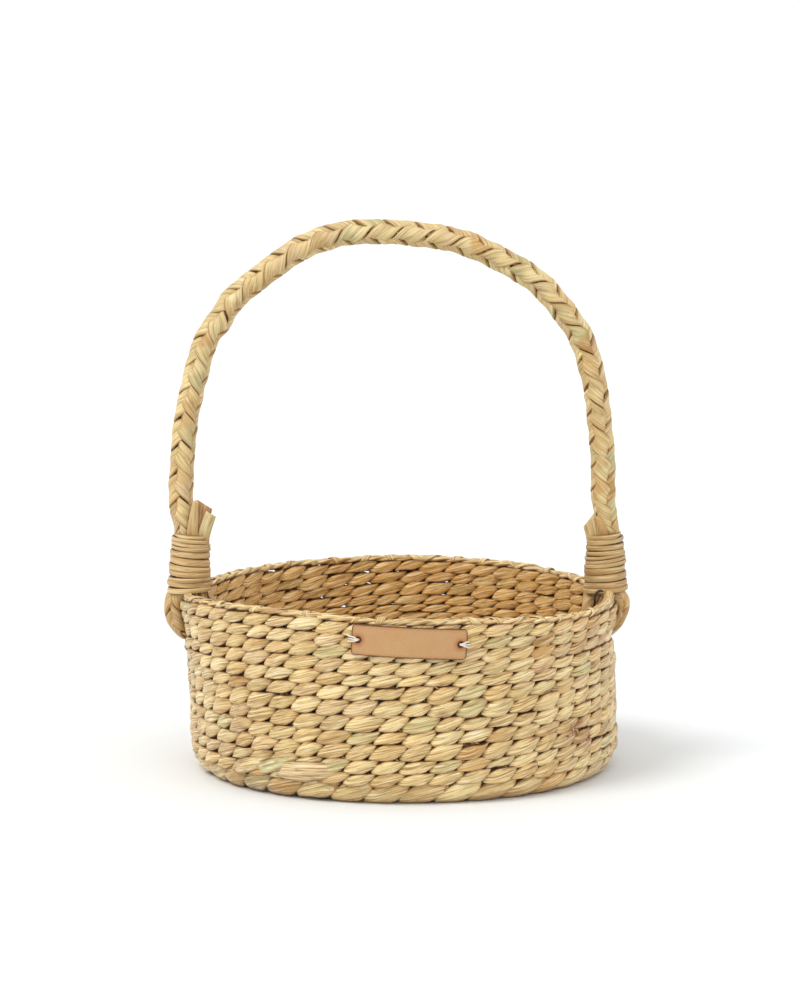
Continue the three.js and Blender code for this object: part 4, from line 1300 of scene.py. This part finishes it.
tag_mesh.materials.append(tag_leather)
tag_piece = new_object("tag_bent", tag_mesh)
make_faces_point_out(tag_piece)
tag_mesh.polygons.foreach_set("use_smooth", np.ones(len(tag_mesh.polygons), dtype=bool))
tag_mesh.set_sharp_from_angle(angle=math.radians(SHARP_DEGREES))
place_piece(tag_piece, "basket", "tag_leather", "leather_tag")

# %% [markdown]
# ## Tag threads
# Each end of the tag is tied on with off-white cotton thread: a few loops run from the hole over
# the end of the tag and in between two stitches.

# %% Tie the tag on
THREAD_WIDTH = 0.95
THREAD_LOOPS = (-1.0, 0.0, 1.0)

cotton = {"Roughness": 0.9, "Sheen Weight": 0.3}
thread_material, thread_tree, thread_shader = new_material("off-white cotton thread", cotton)
thread_place = add_node(thread_tree, "ShaderNodeAttribute", attribute_name="fibre")
stretch = {"Vector": thread_place.outputs["Vector"], "Scale": (1.6, 1.2, 1.2)}
twist = add_node(thread_tree, "ShaderNodeMapping", stretch).outputs["Vector"]
plies = {"Vector": twist, "Scale": 1.0, "Detail": 4.0}
thread_noise = add_node(thread_tree, "ShaderNodeTexNoise", plies).outputs["Fac"]
paler = [(thread_noise, 1.0, 0.0, 1.0, "#F6F0E2")]
lay_colours(thread_tree, thread_shader, linear("#BDB198"), paler)
ridges = {"Height": thread_noise, "Strength": 0.6, "Distance": 0.2 * MM}
thread_bump = add_node(thread_tree, "ShaderNodeBump", ridges)
thread_tree.links.new(thread_bump.outputs["Normal"], thread_shader.inputs["Normal"])

for side, name in ((-1, "left_tag_thread"), (1, "right_tag_thread")):
    chance = np.random.default_rng(950 + side)
    loops = []
    for spread in THREAD_LOOPS:
        end_up = 1.5 * spread + 0.3 * chance.normal()
        past_end = TAG_WIDTH / 2 + 0.9 + 0.4 * chance.normal()
        stations = [
            (HOLE_OUT - 0.3, -0.4, 0.2 * spread),
            (HOLE_OUT - 0.2, 1.2, 0.25 * spread),
            (HOLE_OUT + 0.6, 2.15, 0.35 * spread),
            (HOLE_OUT + 2.2, 2.3, 0.7 * end_up),
            (past_end, 1.7, end_up),
            (past_end + 1.3, 0.2, 1.1 * end_up),
            (past_end + 1.6, -1.6, 1.1 * end_up),
        ]
        path = np.array([tag_point(side * along, out, up) for along, out, up in stations])
        tint = (0.8, 0.76, 0.68)
        loops.append(round_rings(smooth_line(path, 5), THREAD_WIDTH, 10, chance, tint))
    strand_piece(f"{name}_loops", loops, thread_material, "basket", "tag_thread", name)
